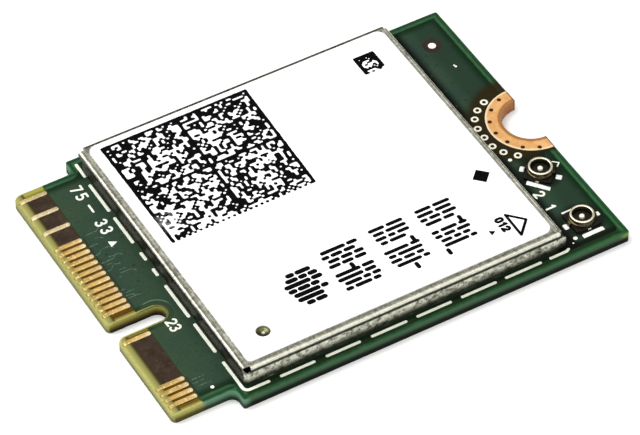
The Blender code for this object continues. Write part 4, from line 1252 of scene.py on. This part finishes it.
def make_lid():
    fine_x = [DIMPLE[0] + d for d in (-0.5, -0.40, -0.32, -0.25, -0.18, -0.11, -0.04, 0.04, 0.11, 0.18, 0.25, 0.32, 0.40, 0.5)]
    fine_y = [DIMPLE[1] + d for d in (-0.5, -0.40, -0.32, -0.25, -0.18, -0.11, -0.04, 0.04, 0.11, 0.18, 0.25, 0.32, 0.40, 0.5)]
    across = folded(LID_X, LID_RELIEF_X, LID_BEND, LID_Z[1] - LID_Z[0], fine_x)
    along = folded(LID_Y, LID_RELIEF_Y, LID_BEND, LID_Z[1] - LID_Z[0], fine_y)
    mesh = Mesh()
    ids = {}

    def height(x, y, hx, hy):
        z = LID_Z[1] - hx - hy
        r = math.dist((x, y), DIMPLE) / 0.36
        if r < 1:
            z -= 0.085 * (1 - r * r) ** 1.3
        # the press leaves a shallow valley just inside each fold
        for edge in (x - LID_X[0], LID_X[1] - x, y - LID_Y[0], LID_Y[1] - y):
            z -= 0.007 * math.exp(-(((edge - 0.27) / 0.045) ** 2))
        return z

    for i, (x, hx, fx) in enumerate(across):
        for j, (y, hy, fy) in enumerate(along):
            if fx and fy:
                continue
            w = wave(x, y, 0.007, 0.4)
            px = x + (w if fx and hx > 0.1 else 0)
            py = y + (w if fy and hy > 0.1 else 0)
            ids[i, j] = mesh.point(px, py, height(x, y, hx, hy) - (0.004 + wave(x, y, 0.004, 1.3) if not (fx or fy) else 0.0))
    for i in range(len(across) - 1):
        for j in range(len(along) - 1):
            corners = [(i, j), (i + 1, j), (i + 1, j + 1), (i, j + 1)]
            if all(c in ids for c in corners):
                mesh.face([ids[c] for c in corners])
    lid = mesh.build("shield_cover", [LID_METAL], "shield_lid", "shield_lid_metal", smooth=60)
    thicken(lid, LID_SHEET, 0.035)
    return lid


def thicken(obj, sheet, edge, even=True):
    wall = obj.modifiers.new("sheet", "SOLIDIFY")
    wall.thickness = sheet * MM
    wall.offset = -1
    wall.use_even_offset = even
    rim = obj.modifiers.new("cut edges", "BEVEL")
    rim.width = edge * MM
    rim.segments = 2
    rim.limit_method = "ANGLE"
    rim.angle_limit = math.radians(50)
    rim.use_clamp_overlap = True
    rim.harden_normals = False


def make_frame():
    """The soldered fence: walls round the parts, a flange turned in, and open corners above."""
    (x0, x1), (y0, y1) = FRAME_X, FRAME_Y
    r, relief = FRAME_CORNER, FRAME_RELIEF
    # the wall's section as (inset, height): plain, and with a shoulder where it stands out past the cover
    foot, bend = BOARD_TOP + 0.002, FRAME_BEND
    turn = [math.pi / 2 * i / 7 for i in range(1, 8)]

    def upright(top):
        return [(0.0, foot + (top - foot) * rise) for rise in (0.0, 0.14, 0.32, 0.50, 0.68, 0.86, 1.0)]

    crest = [(bend * (1 - math.cos(a)), max(FRAME_TOP - bend * (1 - math.sin(a)), FRAME_RELIEF_Z + 0.005 * i)) for i, a in enumerate(turn, 1)]
    plain = upright(FRAME_RELIEF_Z) + crest + [(FRAME_FLANGE, FRAME_TOP)]
    stepped = upright(FRAME_STEP - bend) + [(bend * (1 - math.cos(a)), FRAME_STEP - bend * (1 - math.sin(a))) for a in turn]
    stepped += [(0.44, FRAME_STEP), (0.51, FRAME_STEP + 0.02), (0.56, FRAME_STEP + 0.10), (0.57, FRAME_RELIEF_Z)]
    stepped += [(0.57 + inset, z) for inset, z in crest] + [(1.05, FRAME_TOP)]
    # a run round the outline: (x, y, outward normal, the section there, whether it is in a corner)
    run = []

    def straight(ax, ay, bx, by, normal, section=plain):
        length = math.hypot(bx - ax, by - ay)
        count = max(2, round(length / 0.7))
        for i in range(count + 1):
            t = i / count
            run.append((ax + (bx - ax) * t, ay + (by - ay) * t, normal, section, False))

    def corner(cx, cy, radius, start, first, last):
        for i in range(9):
            a = math.radians(start + 90 * i / 8)
            top = first + (last - first) * i / 8
            run.append((cx + radius * math.cos(a), cy + radius * math.sin(a), (math.cos(a), math.sin(a)), upright(top), True))

    tight, lowest = 0.18, FRAME_STEP - 0.06
    straight(x0 + relief, y0, 10.62, y0, (0, -1))
    run += [(x, y0, (0, -1), upright(top), True) for x, top in FRAME_EAR]
    corner(x1 - tight, y0 + tight, tight, 270, 1.56, lowest)
    straight(x1, y0 + 0.36, x1, y1 - 0.36, (1, 0), stepped)
    corner(x1 - tight, y1 - tight, tight, 0, lowest, 1.56)
    run += [(x, y1, (0, 1), upright(top), True) for x, top in reversed(FRAME_EAR)]
    straight(10.62, y1, x0 + relief, y1, (0, 1))
    corner(x0 + r, y1 - r, r, 90, FRAME_OPEN, FRAME_OPEN)
    straight(x0, y1 - relief, x0, y0 + relief, (-1, 0))
    corner(x0 + r, y0 + r, r, 180, FRAME_OPEN, FRAME_OPEN)
    mesh = Mesh()
    columns = []
    for x, y, (nx, ny), section, _ in run:
        w = wave(x, y, 0.012, 2.2)
        column = []
        for inset, z in section:
            out = (w * (z - 0.8) if inset == 0 else 0.0) - inset
            column.append(mesh.point(x + nx * out, y + ny * out, z))
        columns.append(column)
    n = len(columns)
    for i in range(n):
        a, b = columns[i], columns[(i + 1) % n]
        for k in range(min(len(a), len(b)) - 1):
            if k >= 6 and (run[i][4] or run[(i + 1) % n][4]):
                break
            mesh.face([a[k], b[k], b[k + 1], a[k + 1]])
    fence = mesh.build("shield_fence", [FRAME_METAL], "shield_frame", "shield_frame_metal", smooth=60)
    thicken(fence, FRAME_SHEET, 0.02, even=False)
    # solder along its foot, in short runs
    dice = random.Random(23)
    beads = Mesh()

    def bead(ax, ay, bx, by, nx, ny):
        size = dice.uniform(0.022, 0.045)
        sections = []
        for i in range(9):
            t = i / 8
            x, y = ax + (bx - ax) * t, ay + (by - ay) * t
            k = size * (0.25 + 0.75 * math.sin(math.pi * min(max(t, 0.04), 0.96)) ** 0.6)
            shape = [(-0.05, 0.0), (k * 1.25, 0.0), (k * 1.1, k * 0.25), (k * 0.6, k * 0.6), (k * 0.2, k * 1.2), (0.0, k * 1.9), (-0.05, k * 1.9)]
            sections.append([(x + nx * o, y + ny * o, BOARD_TOP - 0.004 + h) for o, h in shape])
        beads.loft(sections)

    for side in ("near", "left", "right", "far"):
        position = -9.3
        while position < 9.0:
            length = dice.uniform(0.35, 1.1)
            if side == "near":
                bead(position, y0, position + length, y0, 0, -1)
            elif side == "far":
                bead(position + length, y1, position, y1, 0, 1)
            elif side == "left":
                bead(x0, position + length, x0, position, -1, 0)
            else:
                bead(x1, position, x1, position + length, 1, 0)
            position += length + dice.uniform(0.5, 1.3)
    beads.build("fence_solder", [SOLDER_DULL], None, "shield_frame_metal", smooth=60)


# ---------------------------------------------------------------- the label

def make_label():
    (x0, x1), (y0, y1) = LABEL_X, LABEL_Y
    outline = []
    for x, y, r, start in ((x0, y0, 0.28, 180), (x1, y0, 0.55, 270), (x1, y1, 0.55, 0), (x0, y1, 0.55, 90)):
        outline += arc(x + r if x == x0 else x - r, y + r if y == y0 else y - r, r, start, start + 90, 14)
    hole = list(reversed([(DIMPLE[0] + x, DIMPLE[1] + y) for x, y in arc(0, 0, 0.44, 0, 352.5, 47)]))
    mesh = Mesh()
    mesh.slab([outline, hole], rounded_levels(LABEL_Z[0], LABEL_Z[1], 0.02, 0.0, 3, 0.02))
    mesh.build("label_sheet", [LABEL_PAPER], "label", "label_paper", smooth=28)


def blurred(field, sigma):
    """A field smoothed by a bell curve."""
    reach = int(3 * sigma + 1)
    weights = np.exp(-0.5 * (np.arange(-reach, reach + 1) / sigma) ** 2)
    weights /= weights.sum()
    for axis in (0, 1):
        field = np.apply_along_axis(lambda line: np.convolve(line, weights, mode="same"), axis, field)
    return field


def make_square_code(mesh):
    """A square field of merged black cells in four quarters, filled from a seeded generator."""
    dice = np.random.default_rng(2024)
    n = 52
    cells = (dice.random((n, n)) < 0.50).astype(float)
    half = n // 2
    for base in (0, half):
        cells[:, base] = 1.0
        cells[base + half - 1, :] = 1.0
    cells[:, n - 1] = 1.0
    cells[0, :] = np.arange(n) % 2 == 0
    cells[1, :] = np.where(dice.random(n) < 0.35, 1.0, 0.0)
    cells[0:2, 0] = 1.0
    cells[0:2, n - 1] = 1.0
    k = 4
    field = np.kron(cells, np.ones((k, k)))
    field = np.pad(field, k)
    soft = blurred(field, 1.25) - 0.40
    wobble = blurred(dice.standard_normal(soft.shape), 2.0)
    soft += wobble / wobble.std() * 0.05
    worn = np.zeros_like(soft)
    rows, columns = np.indices(soft.shape)
    for cr, cc, reach, amount in ((2.05, 0.65, 0.42, 0.30), (3.6, 8.1, 0.45, 0.22)):
        row, column = (cr - 0.45) / 9.05 * n * k + k, cc / 9.8 * n * k + k
        worn += amount * np.exp(-(((rows - row) / (reach / 9.05 * n * k)) ** 2 + ((columns - column) / (reach / 9.8 * n * k)) ** 2))
    soft -= worn
    corners = {(0, 0): (-9.30, 0.46), (1, 0): (0.38, 0.56), (0, 1): (-9.34, 9.46), (1, 1): (0.62, 9.52)}

    def warp(u, v):
        x = sum(corners[i, j][0] * (u if i else 1 - u) * (v if j else 1 - v) for i in (0, 1) for j in (0, 1))
        y = sum(corners[i, j][1] * (u if i else 1 - u) * (v if j else 1 - v) for i in (0, 1) for j in (0, 1))
        return x, y

    size = n * k
    ink(mesh, soft, -(k - 0.5) / size, -(k - 0.5) / size, 1 / size, 1 / size, PRINT_Z[0], PRINT_Z[1], 0, warp)


def make_small_code(mesh):
    """A small dark square with a light, blotchy middle and a broken lower edge."""
    dice = np.random.default_rng(77)
    n = 12
    rows, columns = np.indices((n, n))
    middle = np.hypot((rows - 4.6) / 1.15, columns - 5.6)
    chance = np.clip(0.12 + 0.15 * middle, 0.0, 0.95)
    cells = (dice.random((n, n)) < chance).astype(float)
    cells[:, 0:2] = cells[n - 2 :, :] = cells[4:, n - 2 :] = 1.0
    cells[0, :] = (columns[0] % 4 < 2) | (columns[0] < 3)
    cells[1, 3:6] = 0.0
    k = 5
    soft = blurred(np.pad(np.kron(cells, np.ones((k, k))), k), 2.0) - 0.46
    size = n * k
    ink(mesh, soft, 7.50 - (k - 0.5) * 1.45 / size, 6.88 - (k - 0.5) * 1.62 / size, 1.45 / size, 1.62 / size, PRINT_Z[0], PRINT_Z[1])


def make_bars(mesh):
    """Four blocks of short plain bars, the first one round."""
    dice = random.Random(5)
    blocks = [(-5.4, -3.05, -4.85, -7.85), (-2.4, 0.05, -4.7, -8.05), (0.95, 3.2, -4.6, -8.4), (4.1, 6.4, -4.6, -8.45)]
    for number, (x0, x1, top, bottom) in enumerate(blocks):
        lines = []
        middle, half = ((x0 + x1) / 2, (top + bottom) / 2), (top - bottom) / 2
        # short bars across the block, grouped in two cells, each closed by one bar along it
        y = top
        row = 0
        while y > bottom + 0.1:
            a, b = x0, x1
            if number == 0:
                reach = math.sqrt(max(0.0, 1 - ((y - middle[1]) / half) ** 2))
                a, b = middle[0] - reach * (x1 - x0) / 2, middle[0] + reach * (x1 - x0) / 2
            if row % 5 != 4 or number == 0:
                at = a + dice.uniform(0.0, 0.25)
                while at < b - 0.2:
                    length = dice.choice((0.35, 0.6, 0.95, 1.5))
                    end = min(at + length, b)
                    lines.append([(at, y), (max(at + 0.08, end - 0.12), y)])
                    at = end + 0.26
                y -= 0.40
            else:
                x = dice.choice((x0 + 0.12, x1 - 0.25, (x0 + x1) / 2))
                lines.append([(x, y + 0.05), (x, y - 0.25)])
                y -= 0.38
            row += 1
        strokes(mesh, lines, (0.335, 0.285, 0.265, 0.265)[number], PRINT_Z, 0.03)


def make_label_print():
    mesh = Mesh()
    make_square_code(mesh)
    make_small_code(mesh)
    make_bars(mesh)
    # plain marks by the antenna end: a solid diamond, an outlined triangle, a dot and a number
    filled(mesh, [(9.62, -3.98), (9.02, -3.38), (8.42, -3.98), (9.02, -4.58)], 0.02, PRINT_Z)
    triangle = [(8.55, -7.42), (8.52, -9.26), (9.42, -8.34)]
    strokes(mesh, [triangle + [triangle[0]]], 0.18, PRINT_Z, 0.02)
    strokes(mesh, numerals("012", 0.46, 7.79, -7.46, 0.38), 0.185, PRINT_Z, 0.02)
    filled(mesh, [(7.02, -8.02), (7.02, -8.46), (7.38, -8.24)], 0.02, PRINT_Z)
    mesh.build("label_print", [LABEL_INK], None, "label_paper", smooth=30)


# ---------------------------------------------------------------- the antenna sockets

def make_socket(number, cx, cy, turn):
    name = f"rf_socket_{number}"
    place = Matrix.Translation((cx, cy, 0)) @ Matrix.Rotation(math.radians(turn), 4, "Z")

    shell = Mesh()
    shell.lathe(
        [
            (0.600, 1.345), (0.605, 1.375), (0.625, 1.394), (0.655, 1.400), (0.700, 1.398), (0.733, 1.385), (0.748, 1.360),
            (0.750, 1.320), (0.745, 1.290), (0.722, 1.262), (0.704, 1.235), (0.700, 1.20), (0.702, 1.155), (0.715, 1.128),
            (0.760, 1.112), (0.792, 1.098), (0.800, 1.075), (0.800, 1.022), (0.600, 1.022), (0.600, 1.18),
        ],
        steps=64,
    )
    base_top = 1.02
    for side in (-1, 1):
        outer = 0.87
        path = [(0.72, base_top + 0.04), (outer - 0.02, base_top + 0.04), (outer + 0.03, base_top + 0.02), (outer + 0.045, base_top - 0.03),
                (outer + 0.045, 0.88), (outer + 0.055, 0.862), (outer + 0.07, 0.855), (0.96, 0.855)]
        sections = []
        for i, (x, z) in enumerate(path):
            ax, az = path[max(0, i - 1)]
            bx, bz = path[min(len(path) - 1, i + 1)]
            dx, dz = bx - ax, bz - az
            length = math.hypot(dx, dz)
            nx, nz = -dz / length * 0.038, dx / length * 0.038
            w = 0.13
            sections.append([(side * (x - nx), -w * side, z - nz), (side * (x - nx), w * side, z - nz), (side * (x + nx), w * side, z + nz), (side * (x + nx), -w * side, z + nz)])
        shell.loft(sections)
    shell.turned(place, 0)
    shell.build(name + "_ring", [SOCKET_METAL], name + "_shell", "socket_shell", smooth=40)

    body = Mesh()
    square = rounded_rectangle((-0.85, 0.85), (-0.85, 0.85), 0.08, 4)
    body.slab([square], rounded_levels(0.80, 1.0, 0.035, 0.0, 3, 0.02))
    body.lathe([(0.15, 1.075), (0.165, 1.09), (0.50, 1.09), (0.535, 1.082), (0.55, 1.06), (0.55, 0.98), (0.15, 0.98)], steps=48)
    body.turned(place, 0)
    body.build(name + "_body", [SOCKET_PLASTIC], name + "_insulator", "socket_insulator", smooth=40)

    pin = Mesh()
    pin.lathe([(0, 1.262), (0.07, 1.259), (0.125, 1.245), (0.155, 1.21), (0.165, 1.16), (0.165, 0.96), (0, 0.96)], steps=28)
    # its tail comes out under the body, to the pad
    tail = [(-0.1, 0.80), (0.1, 0.80), (0.1, 0.875), (0.085, 0.89), (-0.085, 0.89), (-0.1, 0.875)]
    pin.loft([[(x, y, z) for x, z in tail] for y in (-0.60, -0.80, -0.86, -0.88)][::-1])
    pin.turned(place, 0)
    pin.build(name + "_centre", [SOCKET_PIN], name + "_pin", "socket_pin", smooth=45)

    pads = Mesh()
    # the bright pads with their solder: two beside the ring, a long one in front of it
    beside = (0.95, 1.22, -0.18, 0.14) if number == 1 else (0.98, 1.37, -0.32, 0.05)
    for x0, x1, y0, y1 in ((-1.26, -0.95, -0.22, 0.22), beside):
        outline = rounded_rectangle((x0, x1), (y0, y1), 0.08, 4)
        pads.slab([outline], [(0.0, 0.797), (0.0, 0.822), (0.02, 0.845), (0.05, 0.865), (0.09, 0.88), (0.12, 0.884)])
    if number == 1:
        outline = [(-0.65, -1.31), (0.79, -1.31), (0.79, -1.08), (0.72, -1.01), (-0.60, -1.01), (-0.65, -1.06)]
    else:
        outline = [(-0.615, -1.19), (0.885, -1.365), (0.885, -1.08), (-0.57, -0.86), (-0.61, -0.90)]
    pads.slab([outline], [(0.0, 0.797), (0.0, 0.808), (0.01, 0.818), (0.035, 0.826), (0.06, 0.829), (0.08, 0.83)])
    pads.turned(place, 0)
    pads.build(name + "_pads", [SOLDER_WHITE], None, "board", smooth=50)


# ---------------------------------------------------------------- hidden pieces

def finish_inner_nodes():
    """Procedural finishes for the parts under the shield, which stay as packed."""
    moulding = make_plain("chip_moulding_black", [(0.3, "141416"), (0.7, "1f1f22")], 2.2, 0.55, 0.0, 4.0, 24.0)
    finishes = {
        "radio_chip": moulding,
        "memory_chip": moulding,
        "voltage_regulator": moulding,
        "front_end_module": moulding,
        "thermal_pad": make_plain("thermal_pad_rubber", [(0.3, "6c7c8a"), (0.7, "8292a0")], 2.0, 0.85, 0.0, 6.0, 10.0),
        "crystal": make_plain("crystal_can_metal", [(0.3, "a9a9a2"), (0.7, "cfcfc8")], 3.0, 0.33, 1.0, 2.0, 20.0),
        "power_inductor": make_plain("inductor_moulding", [(0.3, "2b2b2e"), (0.7, "3a3a3e")], 5.0, 0.7, 0.0, 8.0, 14.0),
        "diplexer": make_plain("filter_ceramic_pale", [(0.3, "c7c2b6"), (0.7, "d9d5ca")], 4.0, 0.5, 0.0, 3.0, 16.0),
        "band_filter": make_plain("filter_ceramic_grey", [(0.3, "8a8a88"), (0.7, "a2a2a0")], 4.0, 0.5, 0.0, 3.0, 16.0),
        "capacitor": end_capped("capacitor_tan", "a98762", "c09c74"),
        "resistor": end_capped("resistor_black", "1c1c1e", "2a2a2d"),
    }
    for name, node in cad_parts.items():
        for start, material in finishes.items():
            if name.startswith(start):
                node.data.materials.clear()
                node.data.materials.append(material)


def end_capped(name, low, high):
    """A ceramic body's cloudy tone; its tinned ends are part of the same fired piece."""
    s = Shader(name, roughness=0.45)
    cloud = s.noise(4.0, 4.0, 0.6)
    s.set("Base Color", s.ramp(cloud, [(0.3, low), (0.7, high)]))
    s.bump(s.noise(18.0, 3.0), 3.0)
    return s.material


# ---------------------------------------------------------------- stage, light and camera

def make_stage():
    size, z = 0.5, -0.000001
    mesh = bpy.data.meshes.new("floor")
    mesh.from_pydata([(-size, -size, z), (size, -size, z), (size, size, z), (-size, size, z)], [], [(0, 1, 2, 3)])
    s = Shader("floor_white", roughness=0.9, specular=0.1)
    cloud = s.noise(0.02, 2.0)
    s.set("Base Color", s.ramp(cloud, [(0.3, "f2f2f2"), (0.7, "f6f6f6")]))
    mesh.materials.append(s.material)
    floor = bpy.data.objects.new("floor", mesh)
    bpy.context.scene.collection.objects.link(floor)


def make_light(name, position, size, power, target=(0, 0, 0)):
    lamp = bpy.data.lights.new(name, "AREA")
    lamp.shape = "RECTANGLE"
    lamp.size, lamp.size_y = size
    lamp.energy = power
    obj = bpy.data.objects.new(name, lamp)
    bpy.context.scene.collection.objects.link(obj)
    obj.location = position
    obj.rotation_mode = "QUATERNION"
    obj.rotation_quaternion = (Vector(target) - Vector(position)).to_track_quat("-Z", "Y")
    return obj


def make_world():
    """A soft pale room: brighter in front of the card and overhead, dimmer behind it and near the horizon."""
    world = bpy.data.worlds.new("studio")
    bpy.context.scene.world = world
    world.use_nodes = True
    tree = world.node_tree
    tree.nodes.clear()
    out = tree.nodes.new("ShaderNodeOutputWorld")
    background = tree.nodes.new("ShaderNodeBackground")
    tree.links.new(background.outputs[0], out.inputs[0])
    coords = tree.nodes.new("ShaderNodeTexCoord")

    def falloff(value, low, high, dim, bright):
        node = tree.nodes.new("ShaderNodeMapRange")
        node.interpolation_type = "SMOOTHSTEP"
        tree.links.new(value, node.inputs["Value"])
        for name, number in (("From Min", low), ("From Max", high), ("To Min", dim), ("To Max", bright)):
            node.inputs[name].default_value = number
        return node.outputs["Result"]

    front = tree.nodes.new("ShaderNodeVectorMath")
    front.operation = "DOT_PRODUCT"
    tree.links.new(coords.outputs["Generated"], front.inputs[0])
    front.inputs[1].default_value = (-0.75, -0.55, 0.36)
    split = tree.nodes.new("ShaderNodeSeparateXYZ")
    tree.links.new(coords.outputs["Generated"], split.inputs[0])
    product = tree.nodes.new("ShaderNodeMath")
    product.operation = "MULTIPLY"
    tree.links.new(falloff(front.outputs["Value"], -0.60, 0.25, 0.28, 1.60), product.inputs[0])
    tree.links.new(falloff(split.outputs[2], 0.05, 0.75, 0.30, 1.0), product.inputs[1])
    background.inputs["Color"].default_value = (1.0, 1.0, 0.985, 1.0)
    tree.links.new(product.outputs[0], background.inputs["Strength"])


def make_camera():
    azimuth, elevation, roll = (math.radians(v) for v in (-29.45, 46.06, -0.77))
    back = Vector((math.sin(azimuth) * math.cos(elevation), -math.cos(azimuth) * math.cos(elevation), math.sin(elevation)))
    right = (-back).cross(Vector((0, 0, 1))).normalized()
    up = right.cross(-back)
    c, s = math.cos(roll), math.sin(roll)
    side, top = right * c + up * s, up * c - right * s
    data = bpy.data.cameras.new("camera")
    data.sensor_fit = "HORIZONTAL"
    data.sensor_width = 36.0
    data.lens = 3880.2 * 36.0 / 640.0
    data.clip_start, data.clip_end = 0.01, 10.0
    data.dof.use_dof = False
    camera = bpy.data.objects.new("camera", data)
    bpy.context.scene.collection.objects.link(camera)
    where = Vector((0.25, -0.09, 0.0)) * MM + back * 230.3 * MM
    camera.matrix_world = Matrix(
        ((side.x, top.x, back.x, where.x), (side.y, top.y, back.y, where.y), (side.z, top.z, back.z, where.z), (0, 0, 0, 1))
    )
    bpy.context.scene.camera = camera


make_board()
make_masks()
make_contacts()
make_land()
make_vias()
make_traces()
make_silkscreen()
make_board_marks()
make_frame()
make_lid()
make_label()
make_label_print()
for number, (x, y, turn) in enumerate(SOCKETS, 1):
    make_socket(number, x, y, turn)
finish_inner_nodes()
make_stage()
make_world()
make_light("overhead", (-0.15, 0.20, 0.44), (0.30, 0.30), 1.2)
make_camera()
bpy.context.scene.view_settings.view_transform = "Standard"
